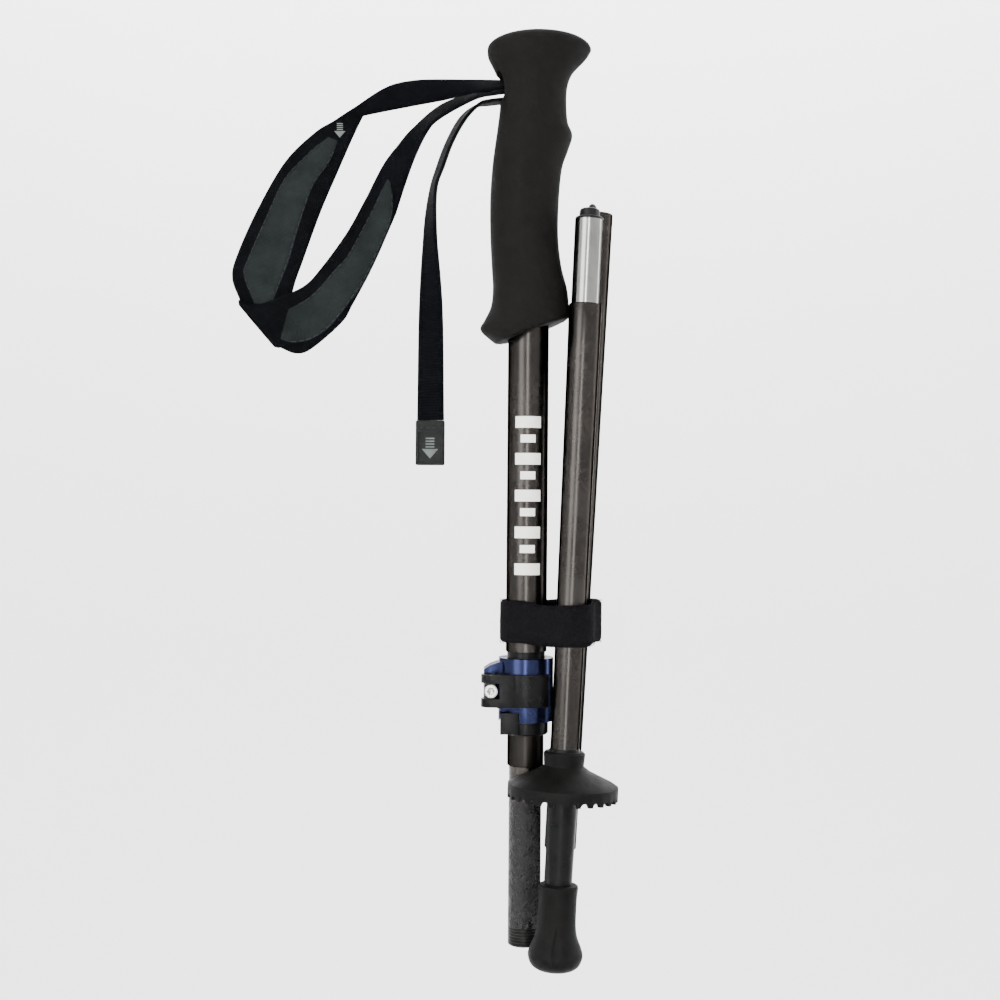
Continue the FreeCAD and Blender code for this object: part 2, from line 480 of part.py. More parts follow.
for step in range(int(value("tooth_count"))):
    angle = 360.0 * step / value("tooth_count")
    gullet = doc.addObject("Part::Cylinder", f"gullet_{step}")
    gullet.setExpression("Radius", bound("basket_teeth"))
    gullet.Height = 8
    lying = FreeCAD.Placement(V(value(basket_r) - 6, 0, rim_low), FreeCAD.Rotation(V(0, 1, 0), 90))
    gullet.Placement = FreeCAD.Placement(V(), FreeCAD.Rotation(UP, angle)).multiply(lying)
    teeth.append(gullet)
basket = moved(cut("basket_teeth_cut", basket_blank, *teeth), lower)
# The rim is notched where the folded basket passes the other two sections: straight out from the grip section
# along the fold, and straight back from the middle section.
basket_height = lower.multVec(V(0, 0, -value("basket_top + basket_collar + 10"))).z
room = value("notch_gap")
shaft_way = doc.addObject("Part::Box", "shaft_way")
shaft_way.Length, shaft_way.Width, shaft_way.Height = 60, 60, 60
near = value("tension_od") / 2 + room
shaft_way.Placement = FreeCAD.Placement(V(), FreeCAD.Rotation(UP, value("fold_azimuth"))).multiply(
    FreeCAD.Placement(V(-60 + near + 3.4, -near, basket_height - 30), FreeCAD.Rotation()))
middle_at_basket = on_axis(middle.Base, middle_up, basket_height)
reach = value("middle_od") / 2 + room
middle_way = doc.addObject("Part::Box", "middle_way")
middle_way.Length, middle_way.Width, middle_way.Height = 2 * reach + 8, 60, 60
middle_way.Placement = FreeCAD.Placement(V(middle_at_basket.x - reach - 8, middle_at_basket.y - reach,
                                           basket_height - 30), FreeCAD.Rotation())
keep("basket", cut("basket_notched", basket, shaft_way, middle_way))

# Wrist strap: flat webbing and padded panels between smooth edges, hanging in a loop that is folded over at its
# low end. The rear layer lies behind the XZ plane and the front layer in front of it.
REAR_WEB = ([(-9.2, 54.6), (-24, 54.6), (-40, 54), (-61, 51), (-78, 40.6), (-87, 34.6)],
            [(-9.2, 48.4), (-24, 46.4), (-40, 43.7), (-64, 39.2), (-74, 36.4), (-76.5, 31.5)])
REAR_PAD = ([(-87, 34.6), (-95, 29.6), (-108, 16.6), (-120, -4.4), (-129.2, -25.5), (-131, -35.2), (-127.5, -44.9)],
            [(-76.5, 31.5), (-79.2, 25), (-84.4, 12.8), (-92, -5.3), (-99.8, -27.3), (-104, -40), (-109.7, -65.6)])
FRONT_PAD = ([(-127.5, -44.9), (-120.4, -47), (-111.6, -44.4), (-99, -38.7), (-91.5, -30.8), (-80.2, -15), (-71.5, 1)],
             [(-109.7, -65.6), (-102.2, -68.4), (-95.2, -66.2), (-82.1, -54.6), (-77.3, -46.6), (-68.2, -29), (-58.7, -7)])
FRONT_WEB = ([(-71.5, 1), (-65, 14), (-58, 24.6), (-51.5, 32.6), (-38.8, 43.1), (-23, 48.4), (-9.2, 50.3)],
             [(-58.7, -7), (-52.7, 11.4), (-45.3, 27.3), (-39.6, 33.9), (-24.3, 42.6), (-16, 44.6), (-9.2, 45.6)])
TAIL = ([(-9.2, 45.1), (-18.2, 43.9), (-24.5, 43), (-31.3, 37.5), (-37.3, 26.5), (-41.5, 15), (-44.5, 4), (-47, -14),
         (-48.6, -48), (-48.9, -97)],
        [(-9.2, 43.9), (-18.2, 42.7), (-22.5, 41), (-28.3, 34.5), (-33.8, 24.5), (-37.6, 14), (-40.8, 4), (-40.6, -14),
         (-37.8, -48), (-36.9, -97)])
rear_low, front_low = "layer_gap / 2", "-layer_gap / 2 - web_thickness"
keep("strap_web_rear", ribbon("web_rear", *REAR_WEB, rear_low, "web_thickness"))
keep("strap_pad_rear", ribbon("pad_rear", *REAR_PAD, rear_low, "web_thickness"))
keep("strap_pad_front", ribbon("pad_front", *FRONT_PAD, front_low, "web_thickness"))
keep("strap_web_front", ribbon("web_front", *FRONT_WEB, front_low, "web_thickness"))
keep("strap_tail", ribbon("tail", *TAIL, rear_low, "tail_thickness"))
keep("strap_end_tab", box("tab", ("tab_x - tab_width / 2", "layer_gap / 2 - 0.8", "tab_top - tab_length - 0.1"),
                          ("tab_x + tab_width / 2", "layer_gap / 2 - 0.8 + tab_thickness", "tab_top - 0.1")))

# Hook-and-loop band: one strip round all three sections, drawn as a stretched loop about their axes.
band_z = value("band_top - band_height / 2")
posts = [(V(0, 0, 0), value("shaft_od") / 2)]
b_post = on_axis(middle.Base, middle_up, band_z)
c_post = on_axis(lower.Base, lower_up, band_z)
half_rise = value("band_height") / 2 * value("lower_slope_x") + value("free_gap")
posts += [(V(b_post.x, b_post.y, 0), value("middle_od") / 2 + half_rise),
          (V(c_post.x, c_post.y, 0), value("lower_od") / 2 - 0.4 + half_rise)]


def wrapped(spare):
    """The convex outline round the three posts, with that much spare."""
    loops = [(centre_point, size + spare) for centre_point, size in posts]
    order = [loops[2], loops[1], loops[0]]
    rim_points = []
    for k in range(3):
        (p, rp), (q, rq) = order[k], order[(k + 1) % 3]
        across = q - p
        turn_angle = math.atan2(across.y, across.x) - math.acos((rp - rq) / across.Length)
        normal = V(math.cos(turn_angle), math.sin(turn_angle), 0)
        rim_points.append((p + normal * rp, q + normal * rq, normal))
    edges = []
    for k in range(3):
        leave, arrive, normal = rim_points[k]
        following = rim_points[(k + 1) % 3]
        middle_normal = normal + following[2]
        middle_normal.normalize()
        hub, size = order[(k + 1) % 3]
        edges.append(Part.makeLine(leave, arrive))
        edges.append(Part.Arc(arrive, hub + middle_normal * size, following[0]).toShape())
    return Part.Face(Part.Wire(edges))


band = doc.addObject("Part::Feature", "band_loop")
band_shape = wrapped(value("free_gap") + value("band_thickness")).cut(wrapped(value("free_gap")))
band_shape = band_shape.extrude(UP * value("band_height"))
band_shape.translate(UP * value("band_top - band_height"))
band.Shape = band_shape
keep("storage_band", band)

doc.recompute()
for thing in doc.Objects:
    if "Invalid" in thing.State or "Error" in thing.State:
        raise RuntimeError(f"{thing.Label} failed: {thing.State}")
os.makedirs("parts", exist_ok=True)
for node, thing in parts.items():
    if thing.Shape.isNull() or not thing.Shape.isValid() or not thing.Shape.Solids:
        raise RuntimeError(f"{node} has no valid solid")
    thing.Shape.exportStep(f"parts/{node}.step")
print("upper loop radius", round(loop_radius, 2), "lower loop radius", round(radius, 2), "parts", len(parts))
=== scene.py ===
import json
import math

import bmesh
import bpy
import numpy as np
from mathutils import Matrix, Vector

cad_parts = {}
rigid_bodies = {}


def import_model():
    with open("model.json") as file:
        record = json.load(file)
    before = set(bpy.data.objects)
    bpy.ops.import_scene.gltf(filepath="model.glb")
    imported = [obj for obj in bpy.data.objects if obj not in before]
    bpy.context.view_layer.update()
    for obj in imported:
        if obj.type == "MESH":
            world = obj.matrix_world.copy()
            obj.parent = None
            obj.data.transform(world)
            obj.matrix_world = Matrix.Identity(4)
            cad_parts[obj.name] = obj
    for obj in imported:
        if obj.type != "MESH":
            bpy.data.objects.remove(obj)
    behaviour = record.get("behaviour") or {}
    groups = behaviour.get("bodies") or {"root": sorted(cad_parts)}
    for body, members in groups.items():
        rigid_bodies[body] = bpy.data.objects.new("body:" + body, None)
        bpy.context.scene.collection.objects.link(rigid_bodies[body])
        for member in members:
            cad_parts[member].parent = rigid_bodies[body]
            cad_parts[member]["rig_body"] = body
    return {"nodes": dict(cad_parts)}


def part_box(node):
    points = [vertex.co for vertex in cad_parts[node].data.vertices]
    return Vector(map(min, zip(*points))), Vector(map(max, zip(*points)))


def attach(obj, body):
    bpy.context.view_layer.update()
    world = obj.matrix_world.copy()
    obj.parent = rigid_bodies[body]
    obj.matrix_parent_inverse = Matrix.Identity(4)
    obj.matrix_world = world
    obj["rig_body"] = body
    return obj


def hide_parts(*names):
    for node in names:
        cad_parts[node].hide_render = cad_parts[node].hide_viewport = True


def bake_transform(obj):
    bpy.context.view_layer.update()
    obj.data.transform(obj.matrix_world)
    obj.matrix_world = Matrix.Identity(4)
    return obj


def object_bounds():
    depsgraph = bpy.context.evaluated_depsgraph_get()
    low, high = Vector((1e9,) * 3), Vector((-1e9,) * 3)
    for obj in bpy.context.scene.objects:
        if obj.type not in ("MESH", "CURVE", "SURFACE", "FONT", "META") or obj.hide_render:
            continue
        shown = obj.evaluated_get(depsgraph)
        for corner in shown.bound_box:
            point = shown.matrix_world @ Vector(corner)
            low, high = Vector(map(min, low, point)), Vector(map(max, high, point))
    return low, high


# A trekking pole folded in three, hung upright over a pale studio sweep. Everything is in metres in the
# pole's own frame: the grip section's axis is the Z axis and the origin is at mid grip.
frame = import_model()
cad_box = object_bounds()

# Camera. A normal lens level with the upper shaft, which looks straight at the pole's front with a slight
# roll.
lens_camera = bpy.data.cameras.new("studio_camera")
lens_camera.lens = 52.0
lens_camera.sensor_width = 36.0
lens_camera.clip_start = 0.01
camera = bpy.data.objects.new("studio_camera", lens_camera)
camera.location = (-0.012, -0.636, -0.132)
camera.rotation_euler = (Matrix.Rotation(math.radians(90), 3, "X")
                         @ Matrix.Rotation(math.radians(0.45), 3, "Z")).to_euler()
bpy.context.scene.collection.objects.link(camera)
bpy.context.scene.camera = camera

# Studio floor. A seamless pale sweep: a round floor that curves up into a wall on every side, so that no
# edge shows from any direction. It lies a metre below the hung pole, which leaves room for the pole to be
# opened out.
floor_height = cad_box[0][2] - 1.0
sweep_profile = [(0.0, 0.0), (0.6, 0.0), (1.2, 0.0), (1.6, 0.0)]
sweep_profile += [(1.6 + 0.9 * math.sin(a), 0.9 - 0.9 * math.cos(a))
                  for a in np.linspace(0.1, math.pi / 2, 14)]
sweep_profile += [(2.5, 2.2), (2.5, 3.4)]
sweep_mesh = bpy.data.meshes.new("studio_sweep")
sweep_turns = 96
sweep_points = [(r * math.cos(a), r * math.sin(a), floor_height + h) for r, h in sweep_profile[1:]
                for a in np.linspace(0, 2 * math.pi, sweep_turns, endpoint=False)]
sweep_faces = [tuple(range(sweep_turns))]
for ring in range(len(sweep_profile) - 2):
    for k in range(sweep_turns):
        a, b = ring * sweep_turns + k, ring * sweep_turns + (k + 1) % sweep_turns
        sweep_faces.append((a, a + sweep_turns, b + sweep_turns, b))
sweep_mesh.from_pydata(sweep_points, [], sweep_faces)
sweep_mesh.shade_smooth()
sweep = bpy.data.objects.new("studio_sweep", sweep_mesh)
bpy.context.scene.collection.objects.link(sweep)
sweep_paper = bpy.data.materials.new("pale_paper")
sweep_paper.use_nodes = True
paper = sweep_paper.node_tree.nodes["Principled BSDF"]
paper.inputs["Roughness"].default_value = 0.9
paper_grain = sweep_paper.node_tree.nodes.new("ShaderNodeTexNoise")
paper_grain.inputs["Scale"].default_value = 40.0
paper_tone = sweep_paper.node_tree.nodes.new("ShaderNodeValToRGB")
paper_tone.color_ramp.elements[0].color = (0.95, 0.95, 0.95, 1)
paper_tone.color_ramp.elements[1].color = (0.98, 0.98, 0.98, 1)
sweep_paper.node_tree.links.new(paper_grain.outputs["Fac"], paper_tone.inputs["Fac"])
sweep_paper.node_tree.links.new(paper_tone.outputs["Color"], paper.inputs["Base Color"])
sweep_mesh.materials.append(sweep_paper)

# Lights. A large soft box at the front left, a smaller one high at the front, a tall strip straight ahead
# that draws the line down the tubes, a thin rim light at the right and a pale sky over the sweep.
world = bpy.data.worlds.new("studio_air")
world.use_nodes = True
world.node_tree.nodes["Background"].inputs["Color"].default_value = (1, 1, 1, 1)
world.node_tree.nodes["Background"].inputs["Strength"].default_value = 1.38
bpy.context.scene.world = world


def soft_box(name, place, target, width, height, power):
    lamp = bpy.data.lights.new(name, "AREA")
    lamp.shape = "RECTANGLE"
    lamp.size, lamp.size_y, lamp.energy = width, height, power
    box = bpy.data.objects.new(name, lamp)
    box.location = place
    box.rotation_euler = (Vector(target) - Vector(place)).to_track_quat("-Z", "Y").to_euler()
    bpy.context.scene.collection.objects.link(box)


pole_middle = (0.0, 0.0, -0.13)
soft_box("key_light", (-0.9, -1.1, 0.25), pole_middle, 0.7, 1.1, 26)
soft_box("top_light", (0.1, -0.5, 1.3), pole_middle, 0.9, 0.6, 14)
soft_box("rim_light", (1.1, 0.25, 0.1), pole_middle, 0.12, 1.0, 7)
soft_box("front_light", (-0.10, -1.5, -0.1), pole_middle, 0.10, 1.3, 20)
soft_box("sweep_light", (0.0, 1.4, 1.6), (0.0, 2.4, 0.4), 2.6, 0.8, 90)


# Grip. A one-piece EVA foam handle, buffed smooth, with a domed head, a finger swell on the inner side and
# a heel trimmed at a slant. It is slid over a moulded core and glued.
def noise(nodes, links, scale, detail=4.0, roughness=0.6):
    """Noise laid in the piece's own space."""
    place = nodes.new("ShaderNodeTexCoord")
    grain = nodes.new("ShaderNodeTexNoise")
    grain.inputs["Scale"].default_value = scale
    grain.inputs["Detail"].default_value = detail
    grain.inputs["Roughness"].default_value = roughness
    links.new(place.outputs["Object"], grain.inputs["Vector"])
    return grain


def mottle_group():
    """Slow blotches of tone and sheen with a fine grain: Shade mixes two colours, Roughness goes with it and
    Height is the grain. Every moulded, coated or foamed finish of the pole uses it."""
    group = bpy.data.node_groups.new("Surface Mottle", "ShaderNodeTree")
    for name, kind, value in (("Dark", "NodeSocketColor", (0, 0, 0, 1)),
                              ("Light", "NodeSocketColor", (1, 1, 1, 1)),
                              ("Blotch Scale", "NodeSocketFloat", 30.0),
                              ("Grain Scale", "NodeSocketFloat", 900.0),
                              ("Smooth", "NodeSocketFloat", 0.4), ("Rough", "NodeSocketFloat", 0.6)):
        group.interface.new_socket(name, in_out="INPUT", socket_type=kind).default_value = value
    for name, kind in (("Color", "NodeSocketColor"), ("Roughness", "NodeSocketFloat"),
                       ("Height", "NodeSocketFloat")):
        group.interface.new_socket(name, in_out="OUTPUT", socket_type=kind)
    nodes, links = group.nodes, group.links
    given, out = nodes.new("NodeGroupInput"), nodes.new("NodeGroupOutput")
    blotch, grain = noise(nodes, links, 30.0, 5.0), noise(nodes, links, 900.0, 2.0)
    links.new(given.outputs["Blotch Scale"], blotch.inputs["Scale"])
    links.new(given.outputs["Grain Scale"], grain.inputs["Scale"])
    both = nodes.new("ShaderNodeMath")
    both.operation = "MULTIPLY_ADD"
    both.inputs[1].default_value = 0.35
    links.new(grain.outputs["Fac"], both.inputs[0])
    share = nodes.new("ShaderNodeMath")
    share.operation = "MULTIPLY"
    share.inputs[1].default_value = 0.65
    links.new(blotch.outputs["Fac"], share.inputs[0])
    links.new(share.outputs[0], both.inputs[2])
    spread = nodes.new("ShaderNodeMapRange")
    spread.inputs["From Min"].default_value, spread.inputs["From Max"].default_value = 0.36, 0.64
    links.new(both.outputs[0], spread.inputs["Value"])
    tone = nodes.new("ShaderNodeMix")
    tone.data_type = "RGBA"
    links.new(spread.outputs[0], tone.inputs["Factor"])
    links.new(given.outputs["Dark"], tone.inputs["A"])
    links.new(given.outputs["Light"], tone.inputs["B"])
    gloss = nodes.new("ShaderNodeMapRange")
    links.new(spread.outputs[0], gloss.inputs["Value"])
    links.new(given.outputs["Smooth"], gloss.inputs["To Min"])
    links.new(given.outputs["Rough"], gloss.inputs["To Max"])
    links.new(tone.outputs["Result"], out.inputs["Color"])
    links.new(gloss.outputs[0], out.inputs["Roughness"])
    links.new(grain.outputs["Fac"], out.inputs["Height"])
    return group


surface_mottle = mottle_group()


def mottled(name, dark, light, smooth, rough, blotch=30.0, grain=900.0, relief=0.0001, metal=0.0,
            specular=0.5, edge=1.0):
    """A material whose colour and gloss drift between two values over a fine grain."""
    material = bpy.data.materials.new(name)
    material.use_nodes = True
    nodes, links = material.node_tree.nodes, material.node_tree.links
    shader = nodes["Principled BSDF"]
    shader.inputs["Metallic"].default_value = metal
    shader.inputs["Specular IOR Level"].default_value = specular
    shader.inputs["Specular Tint"].default_value = (edge, edge, edge, 1)
    mottle = nodes.new("ShaderNodeGroup")
    mottle.node_tree = surface_mottle
    for socket, value in (("Dark", (*dark, 1)), ("Light", (*light, 1)), ("Blotch Scale", blotch),
                          ("Grain Scale", grain), ("Smooth", smooth), ("Rough", rough)):
        mottle.inputs[socket].default_value = value
    bump = nodes.new("ShaderNodeBump")
    bump.inputs["Distance"].default_value = relief
    bump.inputs["Strength"].default_value = 0.6
    links.new(mottle.outputs["Height"], bump.inputs["Height"])
    links.new(mottle.outputs["Color"], shader.inputs["Base Color"])
    links.new(mottle.outputs["Roughness"], shader.inputs["Roughness"])
    links.new(bump.outputs["Normal"], shader.inputs["Normal"])
    return material


def smooth_line(points, count):
    """A smooth line through the points, cut in even steps."""
    points = np.array(points, float)
    padded = np.vstack([2 * points[0] - points[1], points, 2 * points[-1] - points[-2]])
    dense = []
    for i in range(1, len(padded) - 2):
        p0, p1, p2, p3 = padded[i - 1:i + 3]
        for s in np.linspace(0, 1, 24, endpoint=False):
            dense.append(0.5 * (2 * p1 + (p2 - p0) * s + (2 * p0 - 5 * p1 + 4 * p2 - p3) * s ** 2
                                + (3 * p1 - p0 - 3 * p2 + p3) * s ** 3))
    dense = np.array(dense + [padded[-2]])
    way = np.concatenate([[0], np.cumsum(np.linalg.norm(np.diff(dense, axis=0), axis=1))])
    steps = np.linspace(0, way[-1], count)
    return np.column_stack([np.interp(steps, way, dense[:, k]) for k in range(points.shape[1])])


def placed(name, vertices, faces, material, body, crease=40.0):
    """A new piece from its points and faces, with its finish, riding on a body."""
    mesh = bpy.data.meshes.new(name)
    mesh.from_pydata([tuple(v) for v in vertices], [], faces)
    mesh.shade_smooth()
    mesh.set_sharp_from_angle(angle=math.radians(crease))
    piece = bpy.data.objects.new(name, mesh)
    bpy.context.scene.collection.objects.link(piece)
    mesh.materials.append(material)
    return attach(piece, body)


def carved(piece, *cutters):
    """Cut the cutters out of a piece, and throw them away."""
    for cutter in cutters:
        cut = piece.modifiers.new("cut", "BOOLEAN")
        cut.operation, cut.solver, cut.object = "DIFFERENCE", "EXACT", cutter
    bpy.context.view_layer.update()
    finished = bpy.data.meshes.new_from_object(piece.evaluated_get(bpy.context.evaluated_depsgraph_get()))
    piece.modifiers.clear()
    piece.data = finished
    for cutter in cutters:
        bpy.data.objects.remove(cutter)
    piece.data.shade_smooth()
    piece.data.set_sharp_from_angle(angle=math.radians(40))


foam = mottled("eva_foam", (0.0024, 0.0022, 0.0020), (0.0048, 0.0045, 0.0041), 0.62, 0.90, 60.0, 1500.0,
               0.00025, specular=0.06)

# height, outer edge, inner edge, half depth of the handle's ovals, in millimetres from the head down
grip_ovals = [
    (66.0, -19.1, 26.6, 16.6), (62.5, -18.7, 24.4, 16.4), (56.3, -15.6, 18.7, 15.0),
    (50.0, -13.6, 16.3, 14.3), (42.0, -13.3, 15.9, 14.0), (34.0, -14.1, 16.6, 14.2),
    (28.6, -14.8, 18.6, 14.4), (22.0, -15.7, 16.8, 14.5), (14.0, -16.6, 14.2, 14.6),
    (0.0, -17.4, 12.9, 14.8), (-16.0, -17.2, 12.7, 14.6), (-29.0, -16.5, 14.2, 14.4),
    (-39.0, -15.9, 16.8, 14.8), (-47.0, -16.7, 17.7, 15.4), (-53.0, -19.4, 17.9, 16.4),
    (-57.0, -21.3, 17.9, 16.8),
    (-61.0, -17.6, 17.9, 16.0), (-66.0, -10.5, 17.9, 14.0)]
head_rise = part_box("grip_foam")[1].z * 1000 - grip_ovals[0][0]
head_left, head_right, head_depth = grip_ovals[0][1:]
head = []
for angle in np.linspace(math.radians(88), math.radians(6), 18):
    share = math.cos(angle) ** 0.9
    middle = (head_left + head_right) / 2
    head.append((66.0 + head_rise * math.sin(angle), middle + (head_left - middle) * share,
                 middle + (head_right - middle) * share, head_depth * share))
rings = np.vstack([head, smooth_line(grip_ovals, 120)]) / 1000
around = 96
turns = np.linspace(0, 2 * math.pi, around, endpoint=False)
grip_points = []
for height, left, right, half_depth in rings:
    for angle in turns:
        grip_points.append(((left + right) / 2 + (right - left) / 2 * math.cos(angle),
                            half_depth * math.sin(angle), height))
grip_faces = [tuple(range(around))[::-1]]
for ring in range(len(rings) - 1):
    for k in range(around):
        a, b = ring * around + k, ring * around + (k + 1) % around
        grip_faces.append((a, b, b + around, a + around)[::-1])
grip_faces.append(tuple(range((len(rings) - 1) * around, len(rings) * around)))
grip = placed("foam_grip", grip_points, grip_faces, foam, "grip_section")
shape = bmesh.new()
shape.from_mesh(grip.data)
heel_angle = math.radians(20)
bmesh.ops.recalc_face_normals(shape, faces=shape.faces)
bmesh.ops.bisect_plane(shape, geom=shape.verts[:] + shape.edges[:] + shape.faces[:],
                       plane_co=(-0.0125, 0, -0.063),
                       plane_no=(math.sin(heel_angle), 0, -math.cos(heel_angle)), clear_outer=True)
heel_edges = [e for e in shape.edges if e.is_boundary]
bmesh.ops.contextual_create(shape, geom=heel_edges)
heel_edges = [e for e in heel_edges if e.is_valid]
bmesh.ops.bevel(shape, geom=heel_edges, offset=0.0016, segments=4, profile=0.5, affect="EDGES")
bmesh.ops.recalc_face_normals(shape, faces=shape.faces)
shape.to_mesh(grip.data)
shape.free()
slot_mesh = bpy.data.meshes.new("strap_slot")
slot_shape = bmesh.new()
bmesh.ops.create_cube(slot_shape, size=1.0)
bmesh.ops.scale(slot_shape, vec=(0.022, 0.0136, 0.0118), verts=slot_shape.verts)
bmesh.ops.bevel(slot_shape, geom=slot_shape.edges[:], offset=0.002, segments=4, profile=0.5, affect="EDGES")
bmesh.ops.translate(slot_shape, vec=(-0.0195, 0, 0.0495), verts=slot_shape.verts)
slot_shape.to_mesh(slot_mesh)
slot_shape.free()
slot_cutter = bpy.data.objects.new("strap_slot", slot_mesh)
bpy.context.scene.collection.objects.link(slot_cutter)
carved(grip, slot_cutter)
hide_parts("grip_foam")


# Grip core, strap pin and wedge. Moulded nylon liner with a steel pin that the strap turns round and a
# wedge that clamps it; only the wedge's edge shows in the slot.
def dress(node, material):
    """Give a CAD node its finish."""
    mesh = frame["nodes"][node].data
    mesh.materials.clear()
    mesh.materials.append(material)


nylon = mottled("black_nylon", (0.0030, 0.0030, 0.0031), (0.0060, 0.0060, 0.0062), 0.30, 0.48, 120.0,
                2500.0, 0.00006, specular=0.12)
steel = mottled("bright_steel", (0.62, 0.61, 0.59), (0.80, 0.79, 0.77), 0.16, 0.32, 300.0, 4000.0, 0.00001,
                metal=1.0)
for node in ("grip_core", "strap_wedge", "extension_bushing", "cord_anchor"):
    dress(node, nylon)
for node in ("strap_pin", "button_spring", "cord_stop_upper", "cord_stop_lower"):
    dress(node, steel)


# Wrist strap. Black nylon webbing leaves the slot edge-on, turns to show its face, and widens into a soft
# pad with grey brushed lining let into both faces between bound edges; the pad is folded over at its low
# end.
def weave_group():
    """Ribbed tape weave along a strap: rows across it and the cords within them, as Height and as Shade, a
    painted shade that darkens the weave's grooves.
    """
    group = bpy.data.node_groups.new("Tape Weave", "ShaderNodeTree")
    for name, value in (("Rows", 1300.0), ("Cords", 1600.0)):
        group.interface.new_socket(name, in_out="INPUT", socket_type="NodeSocketFloat").default_value = value
    for name in ("Height", "Shade"):
        group.interface.new_socket(name, in_out="OUTPUT", socket_type="NodeSocketFloat")
    nodes, links = group.nodes, group.links
    given, out = nodes.new("NodeGroupInput"), nodes.new("NodeGroupOutput")
    place, split = nodes.new("ShaderNodeUVMap"), nodes.new("ShaderNodeSeparateXYZ")
    place.uv_map = "strap_way"
    links.new(place.outputs["UV"], split.inputs["Vector"])
    waves = []
    for axis, size in (("Y", "Rows"), ("X", "Cords")):
        phase, wave = nodes.new("ShaderNodeMath"), nodes.new("ShaderNodeMath")
        phase.operation, wave.operation = "MULTIPLY", "SINE"
        links.new(split.outputs[axis], phase.inputs[0])
        links.new(given.outputs[size], phase.inputs[1])
        links.new(phase.outputs[0], wave.inputs[0])
        waves.append(wave)
    crossing = nodes.new("ShaderNodeMath")
    crossing.operation = "MULTIPLY"
    links.new(waves[0].outputs[0], crossing.inputs[0])
    links.new(waves[1].outputs[0], crossing.inputs[1])
    height = nodes.new("ShaderNodeMath")
    height.operation = "MULTIPLY_ADD"
    height.inputs[1].default_value = 0.4
    links.new(crossing.outputs[0], height.inputs[0])
    links.new(waves[0].outputs[0], height.inputs[2])
    shade = nodes.new("ShaderNodeMapRange")
    shade.inputs["From Min"].default_value, shade.inputs["From Max"].default_value = -1.4, 1.4
    links.new(height.outputs[0], shade.inputs["Value"])
    links.new(height.outputs[0], out.inputs["Height"])
    links.new(shade.outputs[0], out.inputs["Shade"])
    return group


tape_weave = weave_group()


def woven(name, dark, light, rough, rows, cords, relief, sheen):
    """A woven or knitted finish that follows the strap, with painted shade darkening the weave's grooves."""
    material = mottled(name, dark, light, rough, min(rough + 0.15, 1.0), 90.0, 2600.0, 0.00005, specular=0.02)
    nodes, links = material.node_tree.nodes, material.node_tree.links
    shader = nodes["Principled BSDF"]
    shader.inputs["Sheen Weight"].default_value = sheen
    shader.inputs["Sheen Roughness"].default_value = 0.4
    weave = nodes.new("ShaderNodeGroup")
    weave.node_tree = tape_weave
    weave.inputs["Rows"].default_value, weave.inputs["Cords"].default_value = rows, cords
    rows_bump = nodes.new("ShaderNodeBump")
    rows_bump.inputs["Distance"].default_value, rows_bump.inputs["Strength"].default_value = relief, 0.8
    links.new(weave.outputs["Height"], rows_bump.inputs["Height"])
    links.new(nodes["Bump"].outputs["Normal"], rows_bump.inputs["Normal"])
    links.new(rows_bump.outputs["Normal"], shader.inputs["Normal"])
    # painted shade: the weave's Shade output darkens the base colour in its grooves
    shaded = nodes.new("ShaderNodeMix")
    shaded.data_type, shaded.blend_type = "RGBA", "MULTIPLY"
    shaded.inputs["Factor"].default_value = 0.45
    links.new(nodes["Group"].outputs["Color"], shaded.inputs["A"])
    links.new(weave.outputs["Shade"], shaded.inputs["B"])
    links.new(shaded.outputs["Result"], shader.inputs["Base Color"])
    return material


webbing = woven("nylon_webbing", (0.0010, 0.0012, 0.0018), (0.0026, 0.0030, 0.0042), 0.6, 9000.0, 6500.0,
                0.00010, 0.0)
binding = woven("bound_edge", (0.0010, 0.0012, 0.0016), (0.0026, 0.0030, 0.0038), 0.65, 8000.0, 8000.0,
                0.00008, 0.0)
lining = woven("grey_lining", (0.0080, 0.0098, 0.0098), (0.0150, 0.0180, 0.0180), 0.8, 11000.0, 11000.0,
               0.00005, 0.02)


def facing(first, second):
    """Unit normals of a strap between its two edges."""
    along = np.gradient((first + second) / 2, axis=0)
    normal = np.cross(along, second - first)
    return normal / np.linalg.norm(normal, axis=1)[:, None]


def strip(name, first, second, thickness, material, crown=0.0, shift=0.0, steps=12, body="grip_section"):
    """A strap with rounded edges between two edge lines: crown swells it, shift moves it off its plane."""
    normal = facing(first, second)
    profile = [(t, 1) for t in np.linspace(0, 1, steps)] + [(t, -1) for t in np.linspace(1, 0, steps)]
    points, ways = [], []
    length = np.concatenate([[0], np.cumsum(np.linalg.norm(np.diff((first + second) / 2, axis=0), axis=1))])
    for i in range(len(first)):
        width = np.linalg.norm(second[i] - first[i])
        for t, side in profile:
            rim = min(t, 1 - t) * width / (thickness / 2)
            rounding = math.sqrt(max(0.0, 1 - (1 - min(rim, 1)) ** 2))
            swell = crown * math.sin(math.pi * t) ** 0.6 if 0 < t < 1 else 0.0
            lift = side * (thickness / 2 * rounding + swell) + shift
            points.append(first[i] + (second[i] - first[i]) * t + normal[i] * lift)
            ways.append((t * width, length[i]))
    ring = len(profile)
    faces = [tuple(range(ring)), tuple(range((len(first) - 1) * ring, len(first) * ring))[::-1]]
    for i in range(len(first) - 1):
        for k in range(ring):
            a, b = i * ring + k, i * ring + (k + 1) % ring
            faces.append((a, a + ring, b + ring, b))
    piece = placed(name, points, faces, material, body, 60.0)
    layer = piece.data.uv_layers.new(name="strap_way")
    for loop in piece.data.loops:
        layer.data[loop.index].uv = ways[loop.vertex_index]
    shape = bmesh.new()
    shape.from_mesh(piece.data)
    bmesh.ops.recalc_face_normals(shape, faces=shape.faces)
    shape.to_mesh(piece.data)
    shape.free()
    return piece


